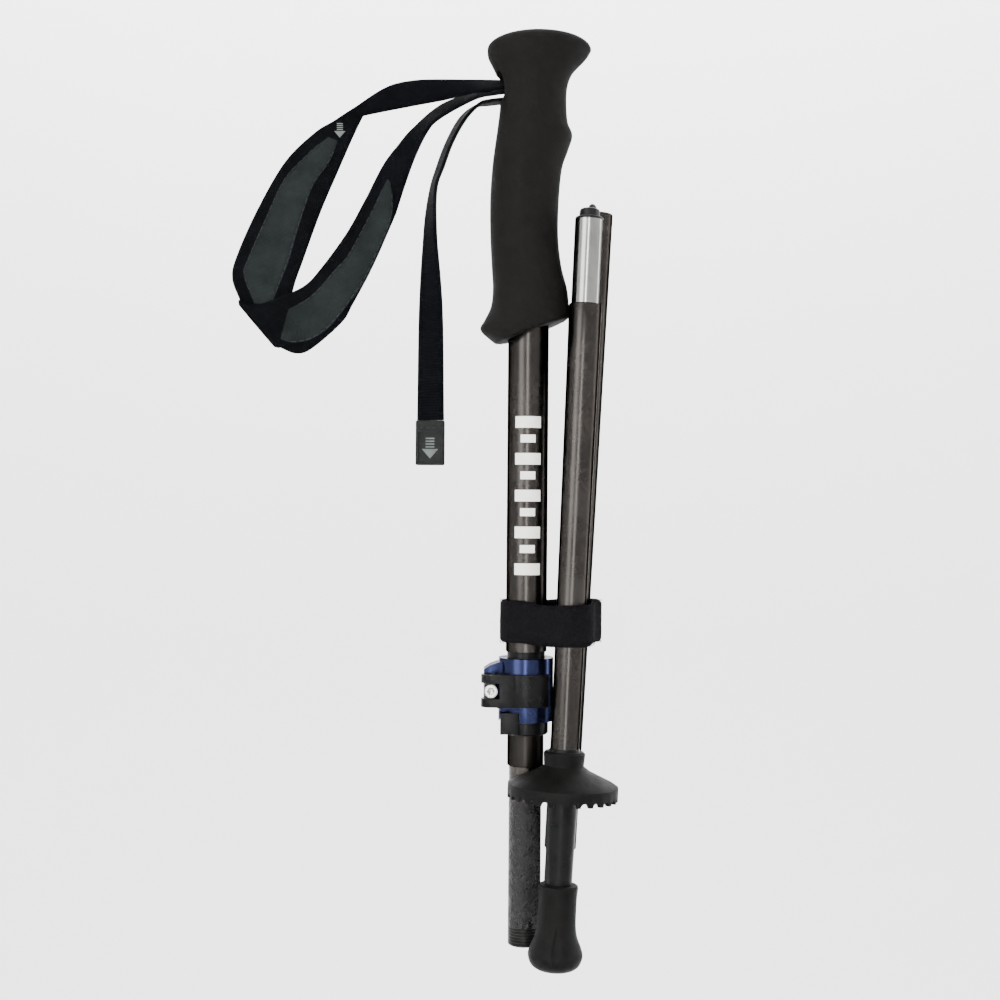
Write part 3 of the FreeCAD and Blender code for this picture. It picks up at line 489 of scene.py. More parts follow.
def edges_in_depth(first, second, count, width, depth):
    """Two edge lines drawn from the front, (across, up) in millimetres, given depth so that the strap keeps
    its real width where it is turned edge-on."""
    first, second = smooth_line(first, count), smooth_line(second, count)
    seen = np.linalg.norm(first - second, axis=1)
    turned_by = np.sqrt(np.maximum(width ** 2 - seen ** 2, 0)) / 2
    kernel = np.ones(9) / 9
    turned_by = np.convolve(np.pad(turned_by, 4, mode="edge"), kernel, "valid")
    back = np.column_stack([first[:, 0], depth + turned_by, first[:, 1]])
    fore = np.column_stack([second[:, 0], depth - turned_by, second[:, 1]])
    return back / 1000, fore / 1000


web_width = 12.0
# the two limbs' edges, in millimetres, from the slot down to the fold: outer or upper edge first
rear_web = ([(-7.5, 54.4), (-24, 54.6), (-40, 54), (-61, 51), (-78, 40.6), (-87, 34.6)],
            [(-7.5, 48.8), (-24, 46.4), (-40, 43.7), (-58, 40.2), (-73.6, 37.0)])
rear_pad = ([(-87, 34.6), (-95, 29.6), (-108, 16.6), (-120, -4.4), (-129.2, -25.5), (-131, -35.2),
             (-127.5, -44.9)],
            [(-73.6, 37.0), (-76.5, 31.0), (-79.2, 25), (-84.4, 12.8), (-92, -5.3), (-99.8, -27.3),
             (-104, -40), (-109.7, -65.6)])
front_pad = ([(-127.5, -44.9), (-120.4, -47), (-111.6, -44.4), (-99, -38.7), (-91.5, -30.8), (-80.2, -15),
              (-71.5, 1)],
             [(-109.7, -65.6), (-102.2, -68.4), (-95.2, -66.2), (-82.1, -54.6), (-77.3, -46.6),
              (-68.2, -29), (-58.7, -7)])
front_web = ([(-71.5, 1), (-65, 14), (-58, 24.6), (-51.5, 32.6), (-38.8, 43.1), (-23, 48.4), (-7.5, 50.2)],
             [(-58.7, -7), (-52.7, 11.4), (-45.3, 27.3), (-39.6, 33.9), (-24.3, 42.6), (-16, 44.6),
              (-7.5, 45.8)])
tail_edges = ([(-7.5, 45.2), (-18.2, 43.9), (-24.5, 43), (-31.3, 37.5), (-37.3, 26.5), (-41.5, 15),
               (-44.5, 4),
               (-47, -14), (-48.6, -48), (-48.9, -97)],
              [(-7.5, 44.0), (-18.2, 42.7), (-22.5, 41), (-28.3, 34.5), (-33.8, 24.5), (-37.6, 14),
               (-40.8, 4),
               (-40.6, -14), (-37.8, -48), (-36.9, -97)])
limb_depth = 1.5


def webbing_strap(name, edges, count, depth, nodes_replaced, thickness=0.0014):
    first, second = edges_in_depth(*edges, count, web_width, depth)
    strap = strip(name, first, second, thickness, webbing)
    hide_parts(nodes_replaced)


webbing_strap("rear_webbing", rear_web, 70, limb_depth, "strap_web_rear")
webbing_strap("front_webbing", front_web, 90, -limb_depth, "strap_web_front")
webbing_strap("strap_tail_webbing", tail_edges, 150, 1.4, "strap_tail", 0.0015)

# pad: the rear limb, the turn at the fold and the front limb are one padded strip
back_a, back_b = (smooth_line(edge, 90) for edge in rear_pad)
fore_a, fore_b = (smooth_line(edge, 80) for edge in front_pad)
fold_line = fore_b[0] - fore_a[0]
outward = np.array([fold_line[1], -fold_line[0]]) / np.linalg.norm(fold_line)
if np.dot(outward, (back_a[-1] - back_a[-12])) < 0:
    outward = -outward


def pad_edge(back, fore):
    turn = [np.array([*(back[-1] + outward * 0.5 * math.sin(a)), limb_depth * math.cos(a)])
            for a in np.linspace(0, math.pi, 11)[1:-1]]
    whole = ([np.array([x, z, limb_depth]) for x, z in back] + turn
             + [np.array([x, z, -limb_depth]) for x, z in fore])
    return np.array([(x, y, z) for x, z, y in whole]) / 1000


pad_first, pad_second = pad_edge(back_a, fore_a), pad_edge(back_b, fore_b)
pad = strip("wrist_pad", pad_first, pad_second, 0.0021, binding, 0.00015, steps=18)
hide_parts("strap_pad_rear", "strap_pad_front")


# grey lining let into both faces of each limb, with a stitched border: edges in millimetres, tip first
rear_lining = ([(-89.2, 27.4), (-92.8, 24.6), (-98.6, 19.6), (-108.6, 8.8), (-116.4, -7.5), (-124.6, -26.4),
                (-126.4, -33.5), (-121.4, -46.2)],
               [(-84.6, 25.6), (-85.9, 21.0), (-88.6, 15.0), (-95.0, 5.3), (-100.5, -11.0), (-104.8, -26.4),
                (-108.0, -35.0),
                (-113.0, -46.6)])
front_lining = ([(-62.6, 8.4), (-68.9, -4.4), (-79.3, -23.8), (-85.0, -30.4), (-95.0, -41.8),
                 (-105.2, -48.6)],
                [(-61.4, 7.4), (-60.1, 0.4), (-60.6, -9.7), (-66.1, -23.3), (-72.8, -37.8), (-85.2, -55.2),
                 (-94.4, -62.4),
                 (-103.0, -64.4), (-109.0, -62.8)])


def panel(name, edges, depth, side):
    first, second = (np.array([(x, depth, z) for x, z in smooth_line(edge, 96)]) / 1000 for edge in edges)
    toward = -1.0 if facing(first, second)[40][1] > 0 else 1.0
    piece = strip(name, first, second, 0.0009, lining, 0.00012, side * toward * -0.00092, steps=14)
    normal = np.tile([0.0, float(side), 0.0], (96, 1))
    return [(first[4:-4] + (second - first)[4:-4] * share + normal[4:-4] * 0.00152, normal[4:-4])
            for share in (0.06, 0.94)]


stitch_lines = []
for label, edges, depth in (("rear", rear_lining, limb_depth), ("front", front_lining, -limb_depth)):
    for face, side in (("back", 1), ("front", -1)):
        stitch_lines += panel(f"lining_{label}_{face}", edges, depth, side)


def stitches(name, lines, material, stitch=0.0022, pitch=0.0034, thread=0.00022, body="grip_section"):
    """Lock stitches: short rounded threads along each line, sunk at both ends."""
    points, faces = [], []
    for path, normal in lines:
        way = np.concatenate([[0], np.cumsum(np.linalg.norm(np.diff(path, axis=0), axis=1))])
        for begin in np.arange(0.002, way[-1] - stitch, pitch):
            base = len(points)
            for share in np.linspace(0, 1, 5):
                spot = begin + stitch * share
                centre = np.array([np.interp(spot, way, path[:, k]) for k in range(3)])
                up_way = np.array([np.interp(spot, way, normal[:, k]) for k in range(3)])
                ahead = np.array([np.interp(spot + 1e-4, way, path[:, k]) for k in range(3)]) - centre
                ahead = ahead / max(np.linalg.norm(ahead), 1e-9)
                side = np.cross(up_way, ahead)
                lift = math.sin(math.pi * share) * 0.5 - 0.5
                for angle in np.linspace(0, 2 * math.pi, 6, endpoint=False):
                    points.append(centre + side * thread * math.cos(angle)
                                  + up_way * thread * (math.sin(angle) + lift))
            for ring in range(4):
                for k in range(6):
                    a, b = base + ring * 6 + k, base + ring * 6 + (k + 1) % 6
                    faces.append((a, a + 6, b + 6, b))
            faces += [tuple(base + k for k in range(6)), tuple(base + 24 + k for k in range(5, -1, -1))]
    piece = placed(name, points, faces, material, body)
    return piece


thread = mottled("black_thread", (0.005, 0.0056, 0.0068), (0.012, 0.013, 0.015), 0.5, 0.7, 400.0, 4000.0,
                 0.00002, specular=0.12)
stitches("lining_stitches", stitch_lines, thread)


# small printed arrow at the top of the rear lining, and the same on the end tab
def arrow_print(name, centre, size, facing_y, material, body="grip_section", depth=0.00004):
    """Four short bars over a plain triangle pointing down."""
    shapes = [[(-0.42, 1.0 - 0.27 * k), (0.42, 1.0 - 0.27 * k), (0.42, 0.86 - 0.27 * k),
               (-0.42, 0.86 - 0.27 * k)]
              for k in range(4)]
    shapes.append([(-0.78, -0.08), (0.78, -0.08), (0.0, -1.0)])
    points, faces = [], []
    for outline in shapes:
        base = len(points)
        for level in (0.0, depth):
            points += [(centre[0] + x * size, centre[1] + facing_y * level, centre[2] + z * size)
                       for x, z in outline]
        count = len(outline)
        faces.append(tuple(base + count + k for k in range(count)))
        faces += [(base + k, base + (k + 1) % count, base + count + (k + 1) % count, base + count + k)
                  for k in range(count)]
    return placed(name, points, faces, material, body)


grey_print = mottled("grey_print", (0.052, 0.060, 0.056), (0.095, 0.108, 0.100), 0.5, 0.65, 300.0, 3000.0,
                     0.00001, specular=0.1)
arrow_print("strap_arrow", (-0.0838, 0.00012, 0.0302), 0.0032, -1, grey_print)

# end tab: a rubbery moulding stitched over the tail's end
tab_low, tab_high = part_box("strap_end_tab")
tab_mesh = bpy.data.meshes.new("end_tab")
tab_shape = bmesh.new()
bmesh.ops.create_cube(tab_shape, size=1.0)
bmesh.ops.scale(tab_shape, vec=tab_high - tab_low, verts=tab_shape.verts)
bmesh.ops.translate(tab_shape, vec=(tab_low + tab_high) / 2, verts=tab_shape.verts)
bmesh.ops.bevel(tab_shape, geom=tab_shape.edges[:], offset=0.0008, segments=4, profile=0.5, affect="EDGES")
tab_shape.to_mesh(tab_mesh)
tab_shape.free()
tab_rubber = mottled("tab_rubber", (0.0028, 0.0034, 0.0030), (0.0056, 0.0066, 0.0060), 0.45, 0.65, 160.0,
                     1700.0, 0.0002, specular=0.1)
tab = placed("end_tab", [v.co for v in tab_mesh.vertices], [tuple(p.vertices) for p in tab_mesh.polygons],
             tab_rubber,
             "grip_section", 50.0)
tab_frame_low, tab_frame_high = tab_low + Vector((0.0013, 0, 0.0013)), tab_high - Vector((0.0013, 0, 0.0052))
recess = bpy.data.meshes.new("tab_recess")
recess_shape = bmesh.new()
bmesh.ops.create_cube(recess_shape, size=1.0)
bmesh.ops.scale(recess_shape, vec=(tab_frame_high.x - tab_frame_low.x, 0.0008,
                                   tab_frame_high.z - tab_frame_low.z),
                verts=recess_shape.verts)
bmesh.ops.bevel(recess_shape, geom=recess_shape.edges[:], offset=0.00035, segments=3, profile=0.5,
                affect="EDGES")
bmesh.ops.translate(recess_shape, vec=((tab_frame_low.x + tab_frame_high.x) / 2, tab_low.y,
                                       (tab_frame_low.z + tab_frame_high.z) / 2), verts=recess_shape.verts)
recess_shape.to_mesh(recess)
recess_shape.free()
recess_cutter = bpy.data.objects.new("tab_recess", recess)
bpy.context.scene.collection.objects.link(recess_cutter)
carved(tab, recess_cutter)
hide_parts("strap_end_tab")
tab_middle = (tab_low.x + tab_high.x) / 2
arrow_print("tab_arrow", (tab_middle, tab_low.y + 0.0004, tab_frame_low.z + 0.0062), 0.0046, -1, grey_print)
tab_seam = np.array([[tab_middle - 0.0062, tab_low.y - 0.00004, tab_high.z - 0.0032],
                     [tab_middle + 0.0062, tab_low.y - 0.00004, tab_high.z - 0.0032]])
stitches("tab_stitches", [(tab_seam, np.array([[0, -1.0, 0], [0, -1.0, 0]]))], thread, 0.0013, 0.0026,
         0.00042)


# Storage band. A strip of hook-and-loop tape stretched round all three sections; its free end lies over the
# first turn on the inner side. The loop face is fuzzy.
fuzzy = mottled("loop_pile", (0.0018, 0.0016, 0.0020), (0.0052, 0.0048, 0.0058), 0.85, 1.0, 900.0, 2200.0,
                0.0009, specular=0.03)
band_node = frame["nodes"]["storage_band"].data
outline = np.array([(v.co.x, v.co.y) for v in band_node.vertices])


def band_path(count):
    """The band's outer face seen from above, at even steps, starting at the side away from the grip."""
    hull = []
    spread = outline[np.lexsort((outline[:, 1], outline[:, 0]))]
    for pass_points in (spread, spread[::-1]):
        chain = []
        for p in pass_points:
            while len(chain) > 1 and np.cross(chain[-1] - chain[-2], p - chain[-2]) <= 1e-12:
                chain.pop()
            chain.append(p)
        hull += chain[:-1]
    hull = np.array(hull + [hull[0]])
    start = int(np.argmax(hull[:-1, 0]))
    hull = np.vstack([hull[start:-1], hull[:start + 1]])
    way = np.concatenate([[0], np.cumsum(np.linalg.norm(np.diff(hull, axis=0), axis=1))])
    steps = np.linspace(0, way[-1], count)
    return np.column_stack([np.interp(steps, way, hull[:, k]) for k in range(2)])


band_count = 260
loop_way = band_path(band_count)
for _ in range(3):
    loop_way[1:-1] = (loop_way[:-2] + loop_way[1:-1] * 2 + loop_way[2:]) / 4
band_low, band_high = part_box("storage_band")
lap = 46
ways = np.vstack([loop_way[:-1], loop_way[:lap]])
ahead = np.gradient(ways, axis=0)
normals = np.column_stack([ahead[:, 1], -ahead[:, 0]])
normals /= np.linalg.norm(normals, axis=1)[:, None]
travel = np.arange(len(ways))
layer = np.clip((travel - (band_count - 24)) / 22.0, 0, 1)
layer = layer * layer * (3 - 2 * layer)
centre_line = ways + normals * (-0.00095 + 0.0022 * layer)[:, None]
ripple = 0.0006 * np.sin(travel / 17.0) + 0.0004 * np.sin(travel / 7.3 + 1.0)
droop = -0.0009 * np.sin(np.clip((centre_line[:, 0] - outline[:, 0].min()) / np.ptp(outline[:, 0]),
                                 0, 1) * math.pi)
top_edge = np.column_stack([centre_line, band_high.z + 0.0006 + ripple * 0.6 + droop])
low_edge = np.column_stack([centre_line, band_low.z - 0.0006 + ripple * 0.5 + droop * 0.3])
strap_band = strip("hook_loop_band", top_edge, low_edge, 0.0019, fuzzy, 0.0001, steps=16)
shape = bmesh.new()
shape.from_mesh(strap_band.data)
rng = np.random.default_rng(7)
for vertex in shape.verts:
    vertex.co += vertex.normal * float(rng.uniform(-0.00006, 0.00012))
shape.to_mesh(strap_band.data)
shape.free()
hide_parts("storage_band")

# loose pile standing off the tape's face and edges
fibre_points, fibre_faces = [], []
for _ in range(2600):
    i = int(rng.integers(2, len(top_edge) - 3))
    share = float(rng.choice([rng.uniform(0, 1), rng.uniform(-0.01, 0.03), rng.uniform(0.97, 1.01)]))
    root = top_edge[i] + (low_edge[i] - top_edge[i]) * share
    root = root + np.array([*normals[i], 0]) * 0.00078
    lean_to = np.array([*normals[i], 0]) * rng.uniform(0.2, 1.0) + rng.normal(0, 0.6, 3)
    lean_to = lean_to / np.linalg.norm(lean_to) * rng.uniform(0.0004, 0.0010)
    side = np.cross(lean_to, rng.normal(0, 1, 3))
    side = side / max(np.linalg.norm(side), 1e-9) * 0.00005
    base = len(fibre_points)
    fibre_points += [root - side, root + side, root + lean_to]
    fibre_faces.append((base, base + 1, base + 2))
pile = placed("band_pile", fibre_points, fibre_faces, fuzzy, "grip_section")


# Upper shaft, extension and tension tubes. Drawn aluminium tubes sliding in one another: a warm dark
# anodised shaft, a paler satin extension, and a tension tube with a crinkled black coat that stops short of
# its top.
def drawn_group():
    """Marks that a drawing die leaves along a tube's axis, as Height for bump."""
    group = bpy.data.node_groups.new("Drawn Tube", "ShaderNodeTree")
    group.interface.new_socket("Lines", in_out="INPUT", socket_type="NodeSocketFloat").default_value = 700.0
    group.interface.new_socket("Height", in_out="OUTPUT", socket_type="NodeSocketFloat")
    nodes, links = group.nodes, group.links
    given, out = nodes.new("NodeGroupInput"), nodes.new("NodeGroupOutput")
    place, stretch = nodes.new("ShaderNodeTexCoord"), nodes.new("ShaderNodeMapping")
    stretch.inputs["Scale"].default_value = (1.0, 1.0, 0.02)
    links.new(place.outputs["Object"], stretch.inputs["Vector"])
    lines = nodes.new("ShaderNodeTexNoise")
    lines.inputs["Detail"].default_value = 3.0
    links.new(stretch.outputs["Vector"], lines.inputs["Vector"])
    links.new(given.outputs["Lines"], lines.inputs["Scale"])
    links.new(lines.outputs["Fac"], out.inputs["Height"])
    return group


drawn_tube = drawn_group()


def anodised(name, dark, light, smooth, rough, relief=0.00003, lines=700.0, edge=0.25):
    """A drawn tube with an anodised skin: mottled tone over fine lengthwise marks."""
    material = mottled(name, dark, light, smooth, rough, 35.0, 3000.0, 0.00001, 1.0, edge=edge)
    nodes, links = material.node_tree.nodes, material.node_tree.links
    marks = nodes.new("ShaderNodeGroup")
    marks.node_tree = drawn_tube
    marks.inputs["Lines"].default_value = lines
    bump = nodes["Bump"]
    along = nodes.new("ShaderNodeBump")
    along.inputs["Distance"].default_value = relief
    along.inputs["Strength"].default_value = 0.5
    links.new(marks.outputs["Height"], along.inputs["Height"])
    links.new(bump.outputs["Normal"], along.inputs["Normal"])
    links.new(along.outputs["Normal"], nodes["Principled BSDF"].inputs["Normal"])
    return material


gunmetal = anodised("gunmetal_anodise", (0.0195, 0.0178, 0.0165), (0.0310, 0.0284, 0.0264), 0.22, 0.32)
satin_grey = anodised("satin_extension", (0.0100, 0.0090, 0.0083), (0.0165, 0.0150, 0.0138), 0.26, 0.38)
polished = anodised("polished_joint", (0.135, 0.135, 0.130), (0.20, 0.20, 0.193), 0.14, 0.26, 0.000012,
                    700.0, 0.1)


def turned(name, node, outline, material, section=None, turns=112):
    """A round piece turned from an outline of (radius, height) in millimetres, in place of a CAD node. It
    stands on the pole's own axis, or on a folded section's when its frame is given."""
    count = len(outline)
    points, faces = [], []
    for radius, height in outline:
        for angle in np.linspace(0, 2 * math.pi, turns, endpoint=False):
            points.append(Vector((radius * math.cos(angle), radius * math.sin(angle), height)) / 1000)
    for ring in range(count):
        following = (ring + 1) % count
        for k in range(turns):
            beside = (k + 1) % turns
            faces.append((ring * turns + k, ring * turns + beside, following * turns + beside,
                          following * turns + k))
    if section is not None:
        points = [section @ p for p in points]
    piece = placed(name, points, faces, material, frame["nodes"][node]["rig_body"], 30.0)
    shape = bmesh.new()
    shape.from_mesh(piece.data)
    bmesh.ops.remove_doubles(shape, verts=shape.verts, dist=1e-7)
    bmesh.ops.recalc_face_normals(shape, faces=shape.faces)
    shape.to_mesh(piece.data)
    shape.free()
    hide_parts(node)
    return piece


def tube_outline(outer, inner, low, high, ease=0.25):
    """A tube's wall with its outer rims eased."""
    return [(inner, low), (outer - ease, low), (outer, low + ease), (outer, high - ease),
            (outer - ease, high), (inner, high)]


def block_cutter(name, size, place):
    """A box to cut with, sizes and place in metres."""
    mesh = bpy.data.meshes.new(name)
    shape = bmesh.new()
    bmesh.ops.create_cube(shape, size=1.0)
    bmesh.ops.scale(shape, vec=size, verts=shape.verts)
    bmesh.ops.translate(shape, vec=place, verts=shape.verts)
    shape.to_mesh(mesh)
    shape.free()
    cutter = bpy.data.objects.new(name, mesh)
    bpy.context.scene.collection.objects.link(cutter)
    return cutter


def section_frame(origin, upward):
    """The frame of a folded section, whose origin and axis are in millimetres of the pole's frame."""
    turn = Vector((0, 0, 1)).rotation_difference(Vector(upward)).to_matrix().to_4x4()
    return Matrix.Translation(Vector(origin) / 1000) @ turn


fold_azimuth, middle_lean = math.radians(12), math.radians(3)
out_x, out_y = math.cos(fold_azimuth), math.sin(fold_azimuth)
middle_up = Vector((out_x * math.sin(middle_lean), out_y * math.sin(middle_lean), math.cos(middle_lean)))
middle_frame = section_frame((16.15 * out_x, 16.15 * out_y, -285.5), middle_up)
lower_up = Vector((0.0405, 0.03, 1)).normalized()
lower_frame = section_frame((24.46, -8.59, -46.8), lower_up)

turned("grip_shaft", "upper_shaft", tube_outline(9.0, 8.35, -198.4, 38.0), gunmetal)
extension = turned("extension_sleeve", "extension_tube", tube_outline(8.0, 7.2, -248.4, -40.0, 0.35),
                   satin_grey)
carved(extension, block_cutter("button_way", (0.0052, 0.006, 0.0133), (0, 0.0085, -0.24275)))
turned("middle_shaft", "middle_tube", tube_outline(7.0, 6.3, 0, 281.2), gunmetal, middle_frame)
turned("lower_shaft", "lower_tube", [(6.0, -210), (7.0, -24), (7.22, -0.5), (7.0, 0), (6.27, 0),
                                     (5.25, -210)], gunmetal,
       lower_frame)
turned("middle_joint", "middle_joint_tube", tube_outline(6.25, 5.45, -31, 18), polished,
       middle_frame)
turned("lower_joint", "lower_joint_tube", tube_outline(6.25, 5.45, -18, 37.05), polished,
       lower_frame)

crinkle = mottled("crinkle_coat", (0.0018, 0.0017, 0.0016), (0.0052, 0.0048, 0.0045), 0.16, 0.55, 260.0,
                  900.0, 0.0003, specular=0.2)
nodes, links = crinkle.node_tree.nodes, crinkle.node_tree.links
shader, fine = nodes["Principled BSDF"], nodes["Bump"]
folds = noise(nodes, links, 420.0, 3.0, 0.5)
folds.inputs["Distortion"].default_value = 1.6
broad = nodes.new("ShaderNodeBump")
broad.inputs["Strength"].default_value = 0.9
links.new(folds.outputs["Fac"], broad.inputs["Height"])
links.new(broad.outputs["Normal"], fine.inputs["Normal"])
place, split = nodes.new("ShaderNodeTexCoord"), nodes.new("ShaderNodeSeparateXYZ")
links.new(place.outputs["Object"], split.inputs["Vector"])
bare_end = nodes.new("ShaderNodeMapRange")
bare_end.inputs["From Min"].default_value, bare_end.inputs["From Max"].default_value = -0.2640, -0.2625
links.new(split.outputs["Z"], bare_end.inputs["Value"])
bare = nodes.new("ShaderNodeMix")
bare.data_type = "RGBA"
bare.inputs["B"].default_value = (0.048, 0.043, 0.039, 1)
links.new(bare_end.outputs[0], bare.inputs["Factor"])
links.new(nodes["Group"].outputs["Color"], bare.inputs["A"])
links.new(bare.outputs["Result"], shader.inputs["Base Color"])
links.new(bare_end.outputs[0], shader.inputs["Metallic"])
relief = nodes.new("ShaderNodeMath")
relief.operation = "MULTIPLY_ADD"
relief.inputs[1].default_value, relief.inputs[2].default_value = -0.0012, 0.0012
links.new(bare_end.outputs[0], relief.inputs[0])
links.new(relief.outputs[0], broad.inputs["Distance"])
tension = turned("tension_sleeve", "tension_tube", tube_outline(7.15, 6.3, -319.0, -190.0), crinkle)
carved(tension, block_cutter("button_seat", (0.0049, 0.005, 0.0049), (0, 0.0065, -0.2386)))
collar = [(6.3, -319.0), (7.15, -319.0)]
for rib in range(5):
    top = -320.0 - 1.3 * rib
    collar += [(7.15, top), (6.9, top - 0.2), (6.9, top - 0.5), (7.15, top - 0.7)]
collar += [(7.15, -326.5), (6.95, -326.9), (6.6, -327.1), (6.3, -327.1)]
turned("ribbed_collar", "socket_collar", collar,
       mottled("collar_black", (0.0025, 0.0024, 0.0022), (0.0055, 0.0052, 0.0048), 0.26, 0.40, 90.0, 2500.0,
               0.00004, specular=0.12))

# Printed mark on the upper shaft. A plain ladder of white bars, screen-printed down the front of the tube.
print_white = mottled("white_print", (0.62, 0.61, 0.58), (0.72, 0.71, 0.68), 0.45, 0.6, 200.0, 3000.0,
                      0.00001)
shaft_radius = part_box("upper_shaft")[1].x
print_points, print_faces = [], []
bar_top, bar_pitch = -0.0955, 0.0080
for bar in range(9):
    low = bar_top - bar_pitch * bar
    bar_width = 0.0118 if bar % 2 == 0 else 0.0066
    bar_height = 0.0050 if bar % 2 == 0 else 0.0034
    facing = math.radians(-90)
    steps = 14
    base = len(print_points)
    for step in range(steps + 1):
        angle = facing + (step / steps - 0.5) * bar_width / shaft_radius
        for z in (low, low - bar_height):
            print_points.append(((shaft_radius + 0.00005) * math.cos(angle),
                                 (shaft_radius + 0.00005) * math.sin(angle), z))
    for step in range(steps):
        a = base + 2 * step
        print_faces.append((a, a + 1, a + 3, a + 2))
placed("shaft_print", print_points, print_faces, print_white, "grip_section")


# Lever lock. A split aluminium band, anodised blue, drawn shut over the shaft's moulded collet by a black
# cam lever that turns on a barrel pin; a small socket-head bolt through the pin sets its grip.
def eased(node, name, width, material, crease=32.0):
    """The machined or moulded CAD piece again, with its sharp edges eased."""
    source = frame["nodes"][node]
    mesh = source.data.copy()
    shape = bmesh.new()
    shape.from_mesh(mesh)
    bmesh.ops.remove_doubles(shape, verts=shape.verts, dist=1e-6)
    bmesh.ops.dissolve_limit(shape, angle_limit=math.radians(0.6), verts=shape.verts, edges=shape.edges)
    sharp = [e for e in shape.edges if len(e.link_faces) == 2 and e.calc_face_angle(0) > math.radians(crease)]
    bmesh.ops.bevel(shape, geom=sharp, offset=width, segments=3, profile=0.5, affect="EDGES",
                    clamp_overlap=True)
    bmesh.ops.triangulate(shape, faces=[f for f in shape.faces if len(f.verts) > 4])
    shape.to_mesh(mesh)
    shape.free()
    mesh.name = name
    mesh.materials.clear()
    mesh.materials.append(material)
    mesh.shade_smooth()
    mesh.set_sharp_from_angle(angle=math.radians(crease))
    piece = bpy.data.objects.new(name, mesh)
    bpy.context.scene.collection.objects.link(piece)
    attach(piece, source["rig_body"])
    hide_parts(node)
    return piece


blue = mottled("blue_anodise", (0.0085, 0.0105, 0.0300), (0.0145, 0.0175, 0.0470), 0.18, 0.30, 60.0, 2600.0,
               0.00002, metal=0.9, edge=0.4)
moulded = mottled("moulded_black", (0.0015, 0.0015, 0.0016), (0.0036, 0.0036, 0.0037), 0.24, 0.42, 90.0,
                  2200.0, 0.00008, specular=0.07)
eased("clamp_band", "blue_band", 0.0005, blue)
eased("lock_lever", "cam_lever", 0.0009, moulded)
eased("lock_base", "lock_collet", 0.0004, moulded)
bolt_steel = mottled("bolt_steel", (0.22, 0.215, 0.20), (0.36, 0.35, 0.33), 0.22, 0.38, 500.0, 4000.0,
                     0.00001, metal=1.0)
eased("clamp_bolt", "band_bolt", 0.00025, bolt_steel)
for node in ("clamp_nut", "snap_button"):
    dress(node, steel)
dress("lever_barrel_pin", mottled("blackened_pin", (0.012, 0.012, 0.012), (0.03, 0.03, 0.03), 0.35, 0.5,
                                  200.0, 3000.0, 0.00002,
                                  metal=1.0))

# Tip and basket. A moulded sleeve glued on the tapered tube with a carbide point in it, a toothed rubber
# basket screwed over the sleeve, and a rubber foot pushed over the point.
rubber = mottled("moulded_rubber", (0.0020, 0.0019, 0.0018), (0.0042, 0.0040, 0.0038), 0.44, 0.66, 140.0,
                 1800.0, 0.00015, specular=0.05)
eased("basket", "trail_basket", 0.0005, rubber)
turned("tip_body", "tip_sleeve", [(6.13, -192), (6.35, -192), (6.55, -192.4), (6.55, -221.3), (5.7, -250.2),
                                  (5.5, -265),
                                  (4.3, -267), (3.02, -267), (3.02, -255), (0.01, -255), (0.01, -210.02),
                                  (6.02, -210.02)],
       moulded, lower_frame)
dress("carbide_tip", mottled("ground_carbide", (0.14, 0.14, 0.14), (0.24, 0.24, 0.24), 0.35, 0.5, 300.0,
                             4000.0, 0.00004,
                             metal=1.0))
foot_side = smooth_line([(8.6, -251.4), (8.25, -256), (8.2, -262), (8.35, -267.6), (9.1, -272.1),
                         (10.9, -276.6), (11.75, -279.4),
                         (11.55, -281.6), (10.6, -283.9), (9.0, -285.4), (7.0, -286.3), (5.0, -286.6)], 70)
foot = turned("rubber_foot", "rubber_cap", [(5.75, -250.2), (7.9, -250.2), (8.4, -250.5)]
              + [tuple(p) for p in foot_side]
              + [(0.01, -286.6), (0.01, -279.6), (3.4, -279.6), (3.4, -267.5), (5.75, -267.5)], rubber,
              lower_frame, 144)
for vertex in foot.data.vertices:
    local = lower_frame.inverted() @ vertex.co
    radius, height = math.hypot(local.x, local.y) * 1000, local.z * 1000
    if radius < 7.9 or height > -262:
        continue
    across = math.degrees(math.atan2(local.x, -local.y)) * radius * math.pi / 180
    up_mark = (height + 275.0) / 7.6
    if abs(up_mark) < 1:
        half_width = 2.1 * math.sqrt(1 - up_mark ** 2) * (1.0 - 0.45 * up_mark)
        if half_width > 0.05 and abs(across) < half_width:
            depth = 0.55 * min(1.0, (1 - abs(across) / half_width) * 2.2)
            vertex.co = lower_frame @ Vector((local.x * (1 - depth / radius),
                                              local.y * (1 - depth / radius), local.z))
turned("middle_end_plug", "middle_plug", [(1.5, -32.6), (4.65, -32.6), (5.4, -32.2), (5.95, -31.3),
                                          (5.95, -31.02), (5.43, -31.02),
                                          (5.43, -23), (1.5, -23)], nylon, middle_frame)
turned("lower_end_plug", "lower_plug", [(1.5, 29.05), (5.43, 29.05), (5.43, 37.07), (6.15, 37.07),
                                        (6.15, 37.7), (5.8, 38.05),
                                        (4.55, 38.35), (4.42, 40.6), (4.2, 41.3), (3.8, 41.65),
                                        (3.4, 41.85), (1.8, 34.05)],
       nylon, lower_frame)

# Tension cord. A thin braided cord runs through all three sections; the two short loops that join the
# folded sections show at their ends.
braid = mottled("braided_cord", (0.004, 0.004, 0.004), (0.012, 0.012, 0.012), 0.6, 0.85, 500.0, 3000.0,
                0.0002, specular=0.1)
for node in ("cord_run_upper", "cord_run_middle", "cord_run_lower"):
    dress(node, braid)


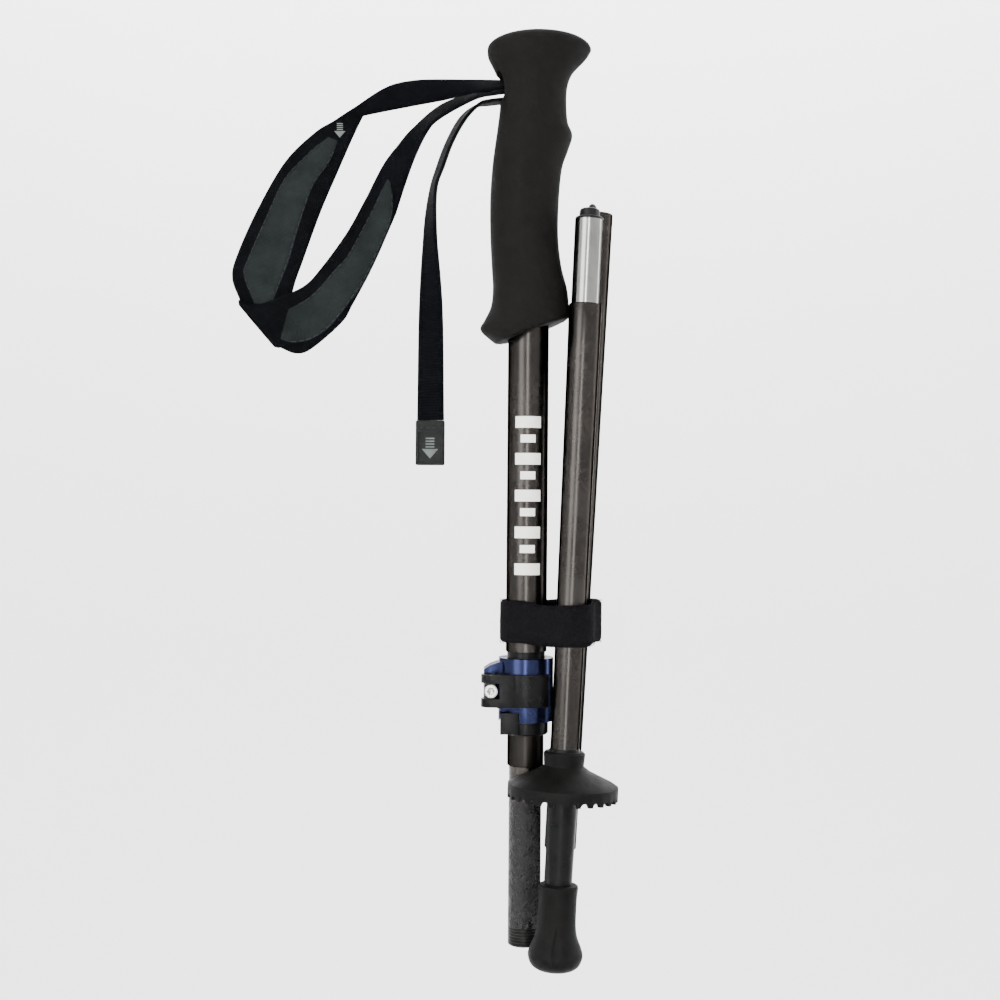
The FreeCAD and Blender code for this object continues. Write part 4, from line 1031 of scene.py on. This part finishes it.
def joining_loop(name, node, route, near_body):
    """A short loop of cord between two sections, laid along its route in the folded pose only; the real cord
    draws in as the sections unfold.
    """
    thickness, turns = 0.0024, 20
    route = np.array(route)
    along = np.gradient(route, axis=0)
    along /= np.linalg.norm(along, axis=1)[:, None]
    flat = np.cross(along[0], along[len(route) // 3])
    flat /= np.linalg.norm(flat)
    points, faces = [], []
    for spot, heading in zip(route, along):
        side = np.cross(flat, heading)
        for k in range(turns):
            angle = 2 * math.pi * k / turns
            points.append(spot + (side * math.cos(angle) + flat * math.sin(angle)) * thickness / 2)
    for ring in range(len(route) - 1):
        for k in range(turns):
            a, b = ring * turns + k, ring * turns + (k + 1) % turns
            faces.append((a, b, b + turns, a + turns))
    faces += [tuple(range(turns))[::-1], tuple(range((len(route) - 1) * turns, len(route) * turns))]
    loop = placed(name, points, faces, braid, near_body)
    loop.parent = None
    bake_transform(loop)
    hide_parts(node)


def half_turn(start, finish, away, steps=28):
    """A half circle between two points, bulging the way that away points."""
    start, finish, away = Vector(start), Vector(finish), Vector(away).normalized()
    centre, arm = (start + finish) / 2, (start - finish) / 2
    return [centre + arm * math.cos(a) + away * arm.length * math.sin(a)
            for a in np.linspace(0, math.pi, steps)]


def at_height(section, upward, height):
    """The point of a folded section's axis at a height, in metres."""
    origin = section.translation
    return origin + upward * ((height - origin.z) / upward.z)


mouth = Vector((0, 0, -0.3218))
landing = at_height(middle_frame, middle_up, -0.3221)
lower_route = half_turn(mouth, landing, (0, 0, -1)) + [landing + middle_up * d
                                                       for d in np.linspace(0.001, 0.016, 12)]
joining_loop("lower_cord_loop", "cord_loop_lower", lower_route, "tension")
rim_height = (middle_frame @ Vector((0, 0, 0.2812))).z + 0.002 - 0.0072
from_middle, to_lower = at_height(middle_frame, middle_up,
                                  rim_height), at_height(lower_frame, lower_up, rim_height)
upper_route = ([from_middle - middle_up * d for d in np.linspace(0.014, 0.001, 12)]
               + half_turn(from_middle, to_lower, (0, 0, 1)))
joining_loop("upper_cord_loop", "cord_loop_upper", upper_route, "upper_cord_link")
